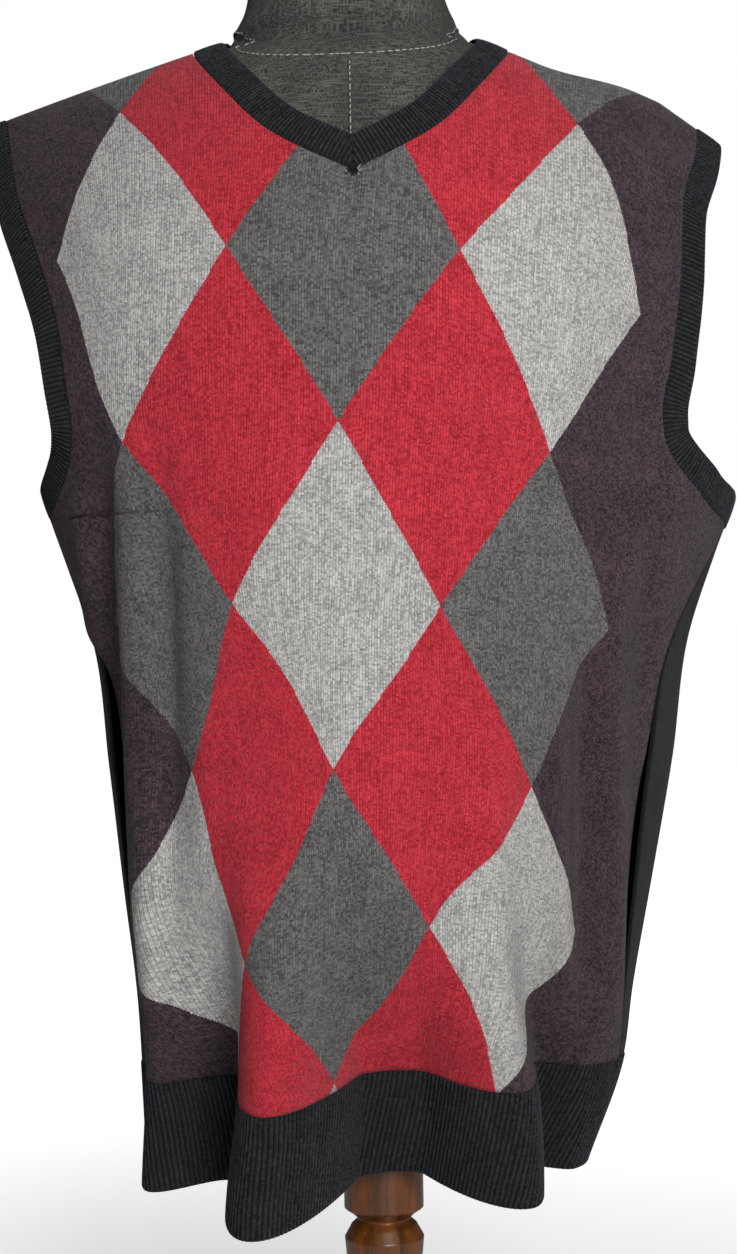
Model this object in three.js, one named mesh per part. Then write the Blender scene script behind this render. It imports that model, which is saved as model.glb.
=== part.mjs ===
import * as THREE from "three";

// A knitted V-neck sweater vest on a limbless dress form with a turned wood stand.
// Millimetres, +Z up. The front faces -Y, +X is to the right seen from the front.
// The origin is on the floor, on the axis of the stand.

// Levels and sizes of the garment
const SHOULDER_Z = 936; // neck point of the shoulder seam
const SHOULDER_X = 104; // half width between the neck points
const SHOULDER_SLOPE = { left: 0.33, right: 0.46 }; // the form leans, so the sides differ
const SHOULDER_SOFTEN = 45; // rounds the shoulder line where it passes the neck
const SHOULDER_TURNOVER = 60; // from -X to +X the one slope passes into the other
const SHOULDER_ROUND = { height: 150, power: 2.2 }; // how the cloth rolls over the shoulder
const CHEST_Z = 640; // rows above this level climb with the shoulder line
const YOKE_Z = 690; // rows lie closer together below this level
const UNDERARM_Z = 618;
const RIB_Z = 288; // seam between the panels and the hem rib
const HEM_Z = 219;
const NECK_X = -8; // the middle of the neckline
const V_Z = 834; // the point of the V
const BACK_NECK_Z = 918;

// Cloth
const KNIT = 2.0; // thickness of the plain knit
const RIB = 2.4; // thickness of the ribbing under its raised ribs
const RIB_RAISE = 0.7;
const SEAM = 0.3; // clearance along the seams between panels
const BAND_SEAM = 0.4; // the same where a band is knitted on
const NECKBAND_WIDTH = 21;
const ARMBAND_WIDTH = 21;
const HEM_RIB_PITCH = 3.8;
const NECK_RIB_PITCH = 3.4;
const ARM_RIB_PITCH = 4.6; // a little coarser than on the real bands

// Dress form and stand
const ARM_CUT_X = 186; // the form's arms are cut flat here
const NECK_BASE_Z = 945; // above this the form is the neck alone
const FOOT_RADIUS = 160;
const FOOT_HEIGHT = 24;

const COLOURS = {
  argyle: 0x8c2a33,
  black: 0x1b1d20,
  linen: 0x4a4845,
  wood: 0x4a2f1c,
};

function table(columns, rows) {
  return rows.map((row) => Object.fromEntries(columns.map((name, i) => [name, row[i]])));
}

// Horizontal sections of the worn garment. front and back are depths from the Y = 0 plane,
// left and right are half widths from X = 0, nose is where the front stands out most,
// side is the Y of the widest place and power is the roundness of the section. leftSeam and
// rightSeam are the turns of the side seams from the front in degrees.
const SECTIONS = table(
  ["z", "left", "right", "front", "back", "nose", "side", "power", "leftSeam", "rightSeam"],
  [
    [219, 152, 131, 54, 102, -6, 8, 2.0, 76, 74],
    [288, 155, 157, 66, 106, -4, 13, 2.1, 75, 73],
    [330, 157, 163, 88, 106, -8, 15, 2.2, 74, 70],
    [400, 164, 176, 122, 106, -16, 16, 2.2, 72, 65],
    [480, 172, 191, 134, 106, -20, 16, 2.2, 71, 62],
    [560, 183, 206, 138, 108, -16, 14, 2.2, 74, 67],
    [610, 201, 226, 140, 112, -12, 11, 2.2, 88, 84],
    [640, 214, 238, 141, 114, -10, 10, 2.2, 90, 90],
    [720, 226, 236, 140, 118, -6, 6, 2.2, 90, 90],
    [790, 234, 236, 132, 116, -2, 4, 2.2, 90, 90],
    [842, 238, 238, 122, 110, 0, 4, 2.2, 90, 90],
    [936, 240, 240, 96, 92, 0, 4, 2.2, 90, 90],
  ],
);

// Vertical folds. low and top are the fold's place along the section from its nose, at the hem
// and where it dies out. depth is how far it stands out, half its half width, lean and swell tip
// and round its flanks, full is the height below which it is full and drop how far it pulls the
// hem down.
const FOLDS = table(
  ["name", "face", "low", "top", "depth", "half", "lean", "swell", "full", "end", "drop"],
  [
    ["pipe left of the middle", "front", -44, -40, 86, 41, -10, 9, 219, 450, 10],
    ["pipe right of the middle", "front", 72, 68, 50, 42, 7, 8, 219, 420, 5],
    ["arch between the pipes", "front", 14, 14, -8, 60, 0, 0, 219, 380, -8],
    ["ridge by the left side", "front", -132, -128, 24, 34, 0, 0, 219, 560, 3],
    ["trough by the left side", "front", -92, -92, -12, 34, 0, 0, 240, 600, 0],
    ["trough by the right side", "front", 106, 116, -22, 32, 0, 0, 219, 600, -2],
    ["back pipe, left", "back", -70, -58, 36, 46, -4, 4, 219, 430, 2],
    ["back pipe, right", "back", 66, 60, 44, 44, 5, 6, 219, 470, 2],
    ["hollow of the back", "back", -4, -4, -12, 60, 0, 0, 219, 560, 0],
  ],
);

// Armhole seams, from the shoulder tip down to the side seam: height and distance from X = 0.
const ARMHOLES = {
  left: table(
    ["z", "x"],
    [
      [633, 216],
      [641, 204],
      [656, 191],
      [681, 182],
      [717, 185],
      [753, 190],
      [802, 205],
      [835, 217],
      [896, 230],
    ],
  ),
  right: table(
    ["z", "x"],
    [
      [618, 234],
      [626, 215],
      [637, 204],
      [651, 189],
      [668, 178],
      [690, 175],
      [725, 182],
      [778, 191],
      [832, 196],
      [858, 206],
      [890, 213],
    ],
  ),
};
const BACK_ARMHOLE_SCOOP = 0.7; // the back armhole is cut straighter than the front one
const SCOOP_FADE = 60; // over this height above the chest

// Neck seams: height and half width from the middle of the neckline.
const NECKLINES = {
  front: table(
    ["z", "x"],
    [
      [V_Z, 0],
      [845, 22],
      [860, 47],
      [875, 63],
      [890, 75],
      [906, 87],
      [924, 98],
      [940, 103],
    ],
  ),
  back: table(
    ["z", "x"],
    [
      [BACK_NECK_Z, 0],
      [919, 40],
      [923, 66],
      [930, 87],
      [940, 103],
    ],
  ),
};

// Horizontal sections of the dress form: half widths to the left and right, front and back
// depth. The cloth's own shape trims it where the cloth rests on it.
const FORM = table(
  ["z", "left", "right", "front", "back", "power"],
  [
    [372, 120, 124, 78, 80, 2.4],
    [376, 132, 136, 86, 86, 2.4],
    [388, 139, 143, 91, 89, 2.4],
    [420, 143, 147, 99, 92, 2.4],
    [480, 147, 153, 108, 94, 2.4],
    [560, 155, 162, 116, 97, 2.4],
    [620, 172, 178, 123, 103, 2.3],
    [660, 190, 194, 129, 108, 2.3],
    [700, 205, 208, 132, 111, 2.3],
    [760, 214, 214, 128, 111, 2.2],
    [820, 218, 216, 115, 104, 2.2],
    [856, 226, 220, 100, 95, 2.2],
    [876, 236, 226, 90, 87, 2.2],
    [890, 240, 230, 83, 80, 2.2],
    [902, 240, 230, 77, 72, 2.2],
    [913, 240, 230, 72, 64, 2.2],
    [923, 240, 230, 67, 56, 2.2],
    [932, 100, 104, 63, 49, 2.1],
    [941, 89, 80, 60, 45, 2.0],
    [955, 79, 60, 57, 46, 2.0],
    [978, 73, 50, 55, 48, 2.0],
    [1002, 71, 46, 54, 49, 2.0],
    [1034, 70, 45, 54, 50, 2.0],
    [1037, 67, 42, 51, 47, 2.0],
  ],
);
const FORM_INSET = 3.1; // below the outer face of the cloth that rests on it
const FORM_SHRINK = 0.965; // and that much less deep

// Turned column, from the foot up: radius at each height above the floor.
const COLUMN = table(
  ["z", "radius"],
  [
    [24.3, 44],
    [32, 45],
    [37, 41],
    [40, 31],
    [50, 24],
    [70, 19],
    [100, 17],
    [128, 18.5],
    [140, 22],
    [143, 24.5],
    [149, 24.5],
    [152, 20],
    [155, 20],
    [164, 24.5],
    [175, 25.5],
    [183, 21],
    [187, 16.5],
    [191, 21],
    [194, 25.5],
    [232, 25.5],
    [236, 22],
    [243, 19],
    [330, 19],
    [350, 22],
    [354, 34],
    [371.7, 36],
  ],
);

// A smooth curve through one column of a table, with the slope at each row weighed between
// its two neighbours.
function smoothCurve(rows, name) {
  const xs = rows.map((row) => row.z);
  const ys = rows.map((row) => row[name]);
  const last = xs.length - 1;
  const slopes = xs.map((x, i) => {
    const below = i === 0 ? 0 : x - xs[i - 1];
    const above = i === last ? 0 : xs[i + 1] - x;
    const rise = i === last ? 0 : ys[i + 1] - ys[i];
    const fall = i === 0 ? 0 : ys[i] - ys[i - 1];
    if (i === 0) return rise / above;
    if (i === last) return fall / below;
    return (below * below * rise + above * above * fall) / (below * above * (below + above));
  });
  return (z) => {
    let k = 0;
    while (k < last - 1 && z > xs[k + 1]) k += 1;
    const span = xs[k + 1] - xs[k];
    const t = Math.min(1, Math.max(0, (z - xs[k]) / span));
    const t2 = t * t;
    const t3 = t2 * t;
    return (
      (2 * t3 - 3 * t2 + 1) * ys[k] +
      (t3 - 2 * t2 + t) * span * slopes[k] +
      (3 * t2 - 2 * t3) * ys[k + 1] +
      (t3 - t2) * span * slopes[k + 1]
    );
  };
}

const section = {};
for (const name of Object.keys(SECTIONS[0])) {
  section[name] = smoothCurve(SECTIONS, name);
}
const armholeX = {
  left: smoothCurve(ARMHOLES.left, "x"),
  right: smoothCurve(ARMHOLES.right, "x"),
};
const neckHalf = {
  front: smoothCurve(NECKLINES.front, "x"),
  back: smoothCurve(NECKLINES.back, "x"),
};

function smoothStep(t) {
  const c = Math.min(1, Math.max(0, t));
  return c * c * (3 - 2 * c);
}

function shoulderLine(x) {
  const toRight = smoothStep((x / SHOULDER_TURNOVER + 1) / 2);
  const slope = SHOULDER_SLOPE.left + (SHOULDER_SLOPE.right - SHOULDER_SLOPE.left) * toRight;
  const reach = Math.hypot(x, SHOULDER_SOFTEN) - Math.hypot(SHOULDER_X, SHOULDER_SOFTEN);
  return SHOULDER_Z - slope * reach;
}

// Height of the row of nominal height level, where it passes x.
function rowHeight(level, x) {
  if (level <= CHEST_Z) return level;
  const share = (level - CHEST_Z) / (SHOULDER_Z - CHEST_Z);
  return CHEST_Z + (shoulderLine(x) - CHEST_Z) * share;
}

// Point of the cloth before its folds. turn is 0 at the front, a quarter turn at the right side.
function clothPoint(level, turn) {
  const sine = Math.sin(turn);
  const cosine = Math.cos(turn);
  const nose = section.nose(level);
  const side = section.side(level);
  const exponent = 2 / section.power(level);
  const reach = sine >= 0 ? section.right(level) - nose : section.left(level) + nose;
  const depth = cosine >= 0 ? section.front(level) + side : section.back(level) - side;
  const x = nose + reach * Math.sign(sine) * Math.abs(sine) ** exponent;
  const z = rowHeight(level, x);
  const drop = Math.min(1, Math.max(0, (shoulderLine(x) - z) / SHOULDER_ROUND.height));
  const roll = (1 - (1 - drop) ** SHOULDER_ROUND.power) ** (1 / SHOULDER_ROUND.power);
  const y = side - depth * Math.sign(cosine) * Math.abs(cosine) ** exponent * roll;
  return new THREE.Vector3(x, y, z);
}

// Turn at which the row of this level passes x, on the front or the back.
function turnAt(level, x, face) {
  const nose = section.nose(level);
  const reach = x >= nose ? section.right(level) - nose : section.left(level) + nose;
  const share = Math.min(1, Math.abs(x - nose) / reach);
  const angle = Math.sign(x - nose) * Math.asin(share ** (section.power(level) / 2));
  return face === "front" ? angle : Math.PI - angle;
}

// A full row of the folded cloth as close points, with its length run from the left side seam,
// over the front to the right side seam and back over the back.
const RING_STEPS = 1440;
function makeRing(level) {
  const base = [];
  for (let i = 0; i <= RING_STEPS; i += 1) {
    base.push(clothPoint(level, (i / RING_STEPS) * 2 * Math.PI - Math.PI / 2));
  }
  const along = [0];
  for (let i = 1; i <= RING_STEPS; i += 1) {
    along.push(along[i - 1] + Math.hypot(base[i].x - base[i - 1].x, base[i].y - base[i - 1].y));
  }
  const points = base.map((point) => point.clone());
  for (const fold of FOLDS) {
    const strength = smoothStep((fold.end - level) / (fold.end - fold.full));
    if (strength === 0) continue;
    const climb = Math.min(1, Math.max(0, (level - HEM_Z) / (fold.end - HEM_Z)));
    const onFront = fold.face === "front";
    const noseIndex = (onFront ? 0.25 : 0.75) * RING_STEPS;
    const place = fold.low + (fold.top - fold.low) * climb;
    const middle = along[noseIndex] + (onFront ? place : -place);
    const lean = onFront ? fold.lean : -fold.lean;
    let crest = 1;
    while (along[crest] < middle) crest += 1;
    const ahead = base[crest + 1].clone().sub(base[crest - 1]).setZ(0).normalize();
    const out = new THREE.Vector3(ahead.y, -ahead.x, 0);
    for (let i = 0; i <= RING_STEPS; i += 1) {
      const t = (along[i] - middle) / fold.half;
      if (Math.abs(t) >= 1) continue;
      const bump = Math.cos((Math.PI * t) / 2) ** 2;
      const wave = Math.sin(Math.PI * t);
      points[i].addScaledVector(out, strength * fold.depth * bump);
      points[i].addScaledVector(ahead, strength * (lean * bump + fold.swell * wave));
      points[i].z -= strength * fold.drop * bump;
    }
  }
  const run = [0];
  for (let i = 1; i <= RING_STEPS; i += 1) {
    run.push(run[i - 1] + Math.hypot(points[i].x - points[i - 1].x, points[i].y - points[i - 1].y));
  }
  return { level, points, run };
}

function runAtTurn(ring, turn) {
  const exact = ((turn + Math.PI / 2) / (2 * Math.PI)) * RING_STEPS;
  const i = Math.min(RING_STEPS - 1, Math.floor(exact));
  return ring.run[i] + (ring.run[i + 1] - ring.run[i]) * (exact - i);
}

function ringAt(ring, place) {
  const run = place % ring.run[RING_STEPS];
  let low = 0;
  let high = RING_STEPS;
  while (high - low > 1) {
    const middle = (low + high) >> 1;
    if (ring.run[middle] <= run) low = middle;
    else high = middle;
  }
  const t = (run - ring.run[low]) / (ring.run[high] - ring.run[low]);
  const point = ring.points[low].clone().lerp(ring.points[high], t);
  const ahead = ring.points[high].clone().sub(ring.points[low]).setZ(0).normalize();
  return { point, normal: new THREE.Vector3(ahead.y, -ahead.x, 0) };
}

// The distance at which a test, true at 0, turns false. It is found by halving.
const HALVINGS = 40;
const FARTHEST = 400;
function crossing(stillInside) {
  let inside = 0;
  let outside = FARTHEST;
  for (let i = 0; i < HALVINGS; i += 1) {
    const middle = (inside + outside) / 2;
    if (stillInside(middle)) inside = middle;
    else outside = middle;
  }
  return inside;
}

// The side seam's turn, and the armhole's turn above it.
function seamTurn(level, side) {
  const degrees = Math.min(90, section[`${side}Seam`](level));
  const turn = (degrees * Math.PI) / 180;
  return side === "right" ? turn : -turn;
}

function armholeTurn(level, face, side) {
  const sign = side === "left" ? -1 : 1;
  const rows = ARMHOLES[side];
  const tip = rows[rows.length - 1].x;
  const edge = (z) => {
    const scoop = face === "front" ? 1 : BACK_ARMHOLE_SCOOP;
    const share = smoothStep((z - CHEST_Z) / SCOOP_FADE) * (1 - scoop);
    return armholeX[side](z) + Math.max(0, tip - armholeX[side](z)) * share;
  };
  const x = sign * crossing((reach) => reach < edge(rowHeight(level, sign * reach)));
  return turnAt(level, x, face);
}

// Rows of the panels from the shoulder down. The rows of the V's point and of the back neck
// are where the two halves of a panel join.
function levelAt(x, z) {
  return CHEST_Z + ((z - CHEST_Z) / (shoulderLine(x) - CHEST_Z)) * (SHOULDER_Z - CHEST_Z);
}
const V_LEVEL = levelAt(NECK_X, V_Z);
const BACK_NECK_LEVEL = levelAt(NECK_X, BACK_NECK_Z);

function spaced(from, to, count, power = 1) {
  return Array.from({ length: count }, (_, i) => from + (to - from) * (i / count) ** power);
}
const LEVELS = [
  ...spaced(SHOULDER_Z, BACK_NECK_LEVEL, 5, 1.9),
  ...spaced(BACK_NECK_LEVEL, V_LEVEL, 4),
  ...spaced(V_LEVEL, YOKE_Z, 4),
  ...spaced(YOKE_Z, CHEST_Z, 4),
  ...spaced(CHEST_Z, UNDERARM_Z, 3),
  ...spaced(UNDERARM_Z, RIB_Z + SEAM / 2, 12),
  RIB_Z + SEAM / 2,
];
const FRONT_COLUMNS = 16; // in each half
const BACK_COLUMNS = 10;

const rings = new Map();
function ringOf(level) {
  if (!rings.has(level)) rings.set(level, makeRing(level));
  return rings.get(level);
}

// The neckline's half width where the row crosses it.
function neckCrossing(level, face, sign) {
  return crossing((half) => half <= neckHalf[face](rowHeight(level, NECK_X + sign * half)));
}

// One half of a panel as rows of points. Columns run from the side to the neck or the middle.
function halfPanel(face, side, levels, columns) {
  const splitLevel = face === "front" ? V_LEVEL : BACK_NECK_LEVEL;
  const sign = side === "left" ? -1 : 1;
  const outward = (face === "front" ? 1 : -1) * sign;
  return levels.map((level, row) => {
    const ring = ringOf(level);
    const whole = ring.run[RING_STEPS];
    let seamRun = runAtTurn(ring, seamTurn(level, side));
    if (face === "back" && side === "left" && seamRun < whole / 2) seamRun += whole;
    seamRun -= (outward * SEAM) / 2;
    let start = seamRun;
    if (level > ARMHOLES[side][0].z) {
      const armholeRun = runAtTurn(ring, armholeTurn(level, face, side));
      if (outward * (seamRun - armholeRun) > 0) start = armholeRun;
    }
    const x = level > splitLevel + 1e-6 ? NECK_X + sign * neckCrossing(level, face, sign) : NECK_X;
    const end = runAtTurn(ring, turnAt(level, x, face));
    const points = [];
    for (let i = 0; i <= columns; i += 1) {
      const { point, normal } = ringAt(ring, start + ((end - start) * i) / columns);
      if (row === 0) point.y = section.side(level) + (face === "front" ? -SEAM / 2 : SEAM / 2);
      const onSeam = i === 0 && start === seamRun;
      points.push({ point, seamNormal: onSeam ? normal : null });
    }
    return points;
  });
}

// A panel: both halves with the middle column shared below the neckline, its cells and normals.
function makePanel(face, levels, columns) {
  const splitLevel = face === "front" ? V_LEVEL : BACK_NECK_LEVEL;
  const splitRow = levels.findIndex((level) => level <= splitLevel + 1e-6);
  const points = [];
  const seamNormals = [];
  const ids = { left: [], right: [] };
  for (const side of ["left", "right"]) {
    halfPanel(face, side, levels, columns).forEach((row, r) => {
      ids[side].push(
        row.map(({ point, seamNormal }, c) => {
          if (side === "right" && c === columns && r >= splitRow) return ids.left[r][c];
          points.push(point);
          seamNormals.push(seamNormal);
          return points.length - 1;
        }),
      );
    });
  }
  const cells = [];
  for (const side of ["left", "right"]) {
    const mirror = (side === "left") === (face === "front");
    for (let r = 0; r + 1 < levels.length; r += 1) {
      for (let c = 0; c < columns; c += 1) {
        const a = ids[side][r][c];
        const b = ids[side][r + 1][c];
        const d = ids[side][r + 1][c + 1];
        const e = ids[side][r][c + 1];
        cells.push(mirror ? [a, b, d, e] : [a, e, d, b]);
      }
    }
  }
  const normals = points.map(() => new THREE.Vector3());
  const edge1 = new THREE.Vector3();
  const edge2 = new THREE.Vector3();
  for (const [a, b, c, d] of cells) {
    edge1.subVectors(points[c], points[a]);
    edge2.subVectors(points[d], points[b]);
    const cross = new THREE.Vector3().crossVectors(edge1, edge2);
    for (const id of [a, b, c, d]) normals[id].add(cross);
  }
  const last = levels.length - 1;
  for (const side of ["left", "right"]) {
    for (const id of ids[side][0]) normals[id].y = 0;
    for (const id of ids[side][last]) normals[id].z = 0;
  }
  normals.forEach((normal, i) => {
    if (seamNormals[i]) normal.copy(seamNormals[i]);
    else normal.normalize();
  });
  const seamRow = (side) => ids[side].findIndex((row) => seamNormals[row[0]] !== null);
  const seamRows = { left: seamRow("left"), right: seamRow("right") };
  return { points, normals, cells, ids, splitRow, seamRows };
}

class Solid {
  constructor() {
    this.positions = [];
    this.triangles = [];
  }

  add(point) {
    this.positions.push(point.x, point.y, point.z);
    return this.positions.length / 3 - 1;
  }

  quad(a, b, c, d) {
    this.triangles.push(a, b, c, a, c, d);
  }

  geometry() {
    const geometry = new THREE.BufferGeometry();
    geometry.setAttribute("position", new THREE.Float32BufferAttribute(this.positions, 3));
    geometry.setIndex(this.triangles);
    geometry.computeVertexNormals();
    return geometry;
  }
}

// A wall of even thickness behind a panel's outer face, closed along every open edge.
function panelWall(panel, thickness) {
  const solid = new Solid();
  const outer = panel.points.map((point) => solid.add(point));
  const inner = panel.points.map((point, i) =>
    solid.add(point.clone().addScaledVector(panel.normals[i], -thickness)),
  );
  const borders = new Map();
  for (const [a, b, c, d] of panel.cells) {
    solid.quad(outer[a], outer[b], outer[c], outer[d]);
    solid.quad(inner[d], inner[c], inner[b], inner[a]);
    for (const [from, to] of [[a, b], [b, c], [c, d], [d, a]]) {
      const back = `${to},${from}`;
      if (borders.has(back)) borders.delete(back);
      else borders.set(`${from},${to}`, [from, to]);
    }
  }
  for (const [from, to] of borders.values()) {
    solid.quad(outer[to], outer[from], inner[from], inner[to]);
  }
  return solid.geometry();
}

// A ribbed strip between a seam line and a free line. Outer columns rise in turn as ribs, and
// the inner wall is plain, with a column only at every marked one.
function ribbedStrip(columns, closed, thickness) {
  const solid = new Solid();
  const rows = [[], []];
  columns.forEach((column, i) => {
    const raise = i % 2 === 1 ? RIB_RAISE : 0;
    rows[0].push(solid.add(column.seam.clone().addScaledVector(column.seamNormal, raise)));
    rows[1].push(solid.add(column.free.clone().addScaledVector(column.freeNormal, raise)));
  });
  const marks = columns.map((column, i) => (column.mark ? i : -1)).filter((i) => i >= 0);
  const inner = marks.map((i) => {
    const column = columns[i];
    return [
      solid.add(column.seam.clone().addScaledVector(column.seamNormal, -thickness)),
      solid.add(column.free.clone().addScaledVector(column.freeNormal, -thickness)),
    ];
  });
  const count = columns.length;
  const stretches = closed ? marks.length : marks.length - 1;
  for (let i = 0; i < (closed ? count : count - 1); i += 1) {
    const next = (i + 1) % count;
    solid.quad(rows[0][i], rows[1][i], rows[1][next], rows[0][next]);
  }
  for (let s = 0; s < stretches; s += 1) {
    const here = inner[s];
    const there = inner[(s + 1) % marks.length];
    solid.quad(there[0], there[1], here[1], here[0]);
    const from = marks[s];
    const to = s + 1 < marks.length ? marks[s + 1] : marks[0] + count;
    const middle = Math.floor((from + to) / 2);
    for (let i = from; i < to; i += 1) {
      const a = i % count;
      const b = (i + 1) % count;
      const near = i < middle ? here : there;
      solid.triangles.push(rows[0][a], rows[0][b], near[0]);
      solid.triangles.push(rows[1][b], rows[1][a], near[1]);
    }
    const m = middle % count;
    solid.triangles.push(here[0], rows[0][m], there[0]);
    solid.triangles.push(there[1], rows[1][m], here[1]);
  }
  if (!closed) {
    const e = count - 1;
    const first = inner[0];
    const last = inner[inner.length - 1];
    solid.quad(rows[0][0], first[0], first[1], rows[1][0]);
    solid.quad(rows[0][e], rows[1][e], last[1], last[0]);
  }
  return solid.geometry();
}

const SHARPEST_MITRE = 0.8; // cosine, so that a corner doesn't run far out

// A band knitted on to a panel edge. line is the closed chain of edge points with their normals,
// run so that the opening lies on the side of direction x normal.
function edgeBand(line, width, pitch, thickness) {
  const count = line.length;
  const ways = line.map((corner, i) => {
    const next = line[(i + 1) % count].point;
    return next.clone().sub(corner.point).normalize();
  });
  const corners = line.map((corner, i) => {
    const before = ways[(i + count - 1) % count];
    const after = ways[i];
    const ahead = before.clone().add(after).normalize();
    const across = new THREE.Vector3().crossVectors(ahead, corner.normal).normalize();
    const mitre = Math.max(SHARPEST_MITRE, Math.sqrt((1 + before.dot(after)) / 2));
    return { ...corner, across, mitre };
  });
  const free = corners.map(({ point, across, mitre }) =>
    point.clone().addScaledVector(across, width / mitre),
  );
  const columns = [];
  corners.forEach((corner, i) => {
    const next = corners[(i + 1) % count];
    const length = (corner.point.distanceTo(next.point) + free[i].distanceTo(free[(i + 1) % count])) / 2;
    let parts = Math.max(1, Math.round((2 * length) / pitch));
    if (i === count - 1 && (columns.length + parts) % 2 === 1) parts += 1;
    for (let k = 0; k < parts; k += 1) {
      const t = k / parts;
      const normal = corner.normal.clone().lerp(next.normal, t).normalize();
      const from = corner.point.clone().addScaledVector(corner.across, BAND_SEAM / corner.mitre);
      const to = next.point.clone().addScaledVector(next.across, BAND_SEAM / next.mitre);
      columns.push({
        seam: from.lerp(to, t),
        free: free[i].clone().lerp(free[(i + 1) % count], t),
        seamNormal: normal,
        freeNormal: normal,
        mark: k === 0,
      });
    }
  });
  return ribbedStrip(columns, true, thickness);
}

function edgeLine(panel, side, column, fromRow, toRow) {
  const step = fromRow < toRow ? 1 : -1;
  const line = [];
  for (let row = fromRow; row !== toRow + step; row += step) {
    const id = panel.ids[side][row][column];
    line.push({ point: panel.points[id], normal: panel.normals[id] });
  }
  return line;
}

// Where the front or the back begins and ends along a ring, at its side seams.
function faceRun(ring, face) {
  const left = runAtTurn(ring, seamTurn(ring.level, "left"));
  const right = runAtTurn(ring, seamTurn(ring.level, "right"));
  return face === "front" ? [left, right] : [right, left + ring.run[RING_STEPS]];
}

// Hem rib: one strip for each panel, between the side seams.
function hemStrip(face) {
  const top = ringOf(RIB_Z - SEAM / 2);
  const bottom = ringOf(HEM_Z);
  const [topFrom, topTo] = faceRun(top, face);
  const [lowFrom, lowTo] = faceRun(bottom, face);
  const ribs = Math.round((lowTo - lowFrom) / HEM_RIB_PITCH);
  const count = 4 * Math.round(ribs / 2);
  const columns = [];
  for (let i = 0; i <= count; i += 1) {
    const t = i / count;
    const shift = (0.5 - t) * SEAM;
    const above = ringAt(top, topFrom + (topTo - topFrom) * t + shift);
    const below = ringAt(bottom, lowFrom + (lowTo - lowFrom) * t + shift);
    columns.push({
      seam: above.point,
      free: below.point,
      seamNormal: above.normal,
      freeNormal: below.normal,
      mark: i % 4 === 0,
    });
  }
  return ribbedStrip(columns, false, RIB);
}

// The form is lofted through its sections, trimmed under the cloth, with the arms cut flat.
const FORM_COLUMNS = 32;
const FORM_AXIS_Y = 4;

// Half width at which the shoulder line has dropped to this height.
function shoulderReach(z, sign) {
  return crossing((x) => shoulderLine(sign * x) > z);
}

// The smaller of two depths, rounded over where they cross.
function softSmaller(a, b) {
  const blend = Math.max(0.25 * Math.min(a, b), 1e-6);
  const h = Math.max(0, blend - Math.abs(a - b)) / blend;
  return Math.min(a, b) - (h * h * blend) / 4;
}

function formPoint(row, turn) {
  const sine = Math.sin(turn);
  const cosine = Math.cos(turn);
  const exponent = 2 / row.power;
  const onNeck = row.z > NECK_BASE_Z;
  const left = onNeck ? row.left : Math.min(row.left, shoulderReach(row.z + FORM_INSET, -1));
  const right = onNeck ? row.right : Math.min(row.right, shoulderReach(row.z + FORM_INSET, 1));
  const wide = ((left + right) / 2) * Math.sign(sine) * Math.abs(sine) ** exponent;
  const x = Math.min(ARM_CUT_X, Math.max(-ARM_CUT_X, (right - left) / 2 + wide));
  const face = cosine >= 0 ? "front" : "back";
  const toward = face === "front" ? 1 : -1;
  let depth = (row[face] + toward * FORM_AXIS_Y) * Math.abs(cosine) ** exponent;
  if (!onNeck && row.z + FORM_INSET < shoulderLine(x)) {
    const level = row.z < CHEST_Z ? row.z : levelAt(x, row.z + FORM_INSET);
    const cloth = clothPoint(level, turnAt(level, x, face));
    const limit = Math.abs(cloth.y - FORM_AXIS_Y) * FORM_SHRINK;
    depth = Math.max(0, softSmaller(depth, limit));
  }
  return new THREE.Vector3(x, FORM_AXIS_Y - toward * depth, row.z);
}

function formTorso() {
  const solid = new Solid();
  const rows = FORM.map((row) =>
    Array.from({ length: FORM_COLUMNS }, (_, i) => {
      const turn = (i / FORM_COLUMNS) * 2 * Math.PI;
      return solid.add(formPoint(row, turn));
    }),
  );
  for (let r = 0; r + 1 < rows.length; r += 1) {
    for (let i = 0; i < FORM_COLUMNS; i += 1) {
      const next = (i + 1) % FORM_COLUMNS;
      solid.quad(rows[r][i], rows[r][next], rows[r + 1][next], rows[r + 1][i]);
    }
  }
  const bottom = FORM[0];
  const top = FORM[FORM.length - 1];
  const low = solid.add(new THREE.Vector3((bottom.right - bottom.left) / 2, FORM_AXIS_Y, bottom.z));
  const high = solid.add(new THREE.Vector3((top.right - top.left) / 2, FORM_AXIS_Y, top.z));
  for (let i = 0; i < FORM_COLUMNS; i += 1) {
    const next = (i + 1) % FORM_COLUMNS;
    solid.triangles.push(low, rows[0][next], rows[0][i]);
    solid.triangles.push(high, rows[rows.length - 1][i], rows[rows.length - 1][next]);
  }
  return solid.geometry();
}

function turned(profile, sides) {
  const points = profile.map(([radius, z]) => new THREE.Vector2(radius, z));
  const geometry = new THREE.LatheGeometry(points, sides);
  geometry.rotateX(Math.PI / 2);
  return geometry;
}

function standColumn() {
  const sides = COLUMN.map(({ radius, z }) => [radius, z]);
  const profile = [[0, COLUMN[0].z], ...sides, [0, COLUMN[COLUMN.length - 1].z]];
  return turned(profile, 18);
}

function standFoot() {
  const edge = 6;
  const profile = [
    [0, 0],
    [FOOT_RADIUS, 0],
    [FOOT_RADIUS, FOOT_HEIGHT - edge],
    [FOOT_RADIUS - edge / 3, FOOT_HEIGHT - edge / 3],
    [FOOT_RADIUS - edge, FOOT_HEIGHT],
    [0, FOOT_HEIGHT],
  ];
  return turned(profile, 40);
}

const vest = new THREE.Group();
function addPiece(name, geometry, color, roughness) {
  const material = new THREE.MeshStandardMaterial({ color, roughness, metalness: 0 });
  const mesh = new THREE.Mesh(geometry, material);
  mesh.name = name;
  vest.add(mesh);
}

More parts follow.
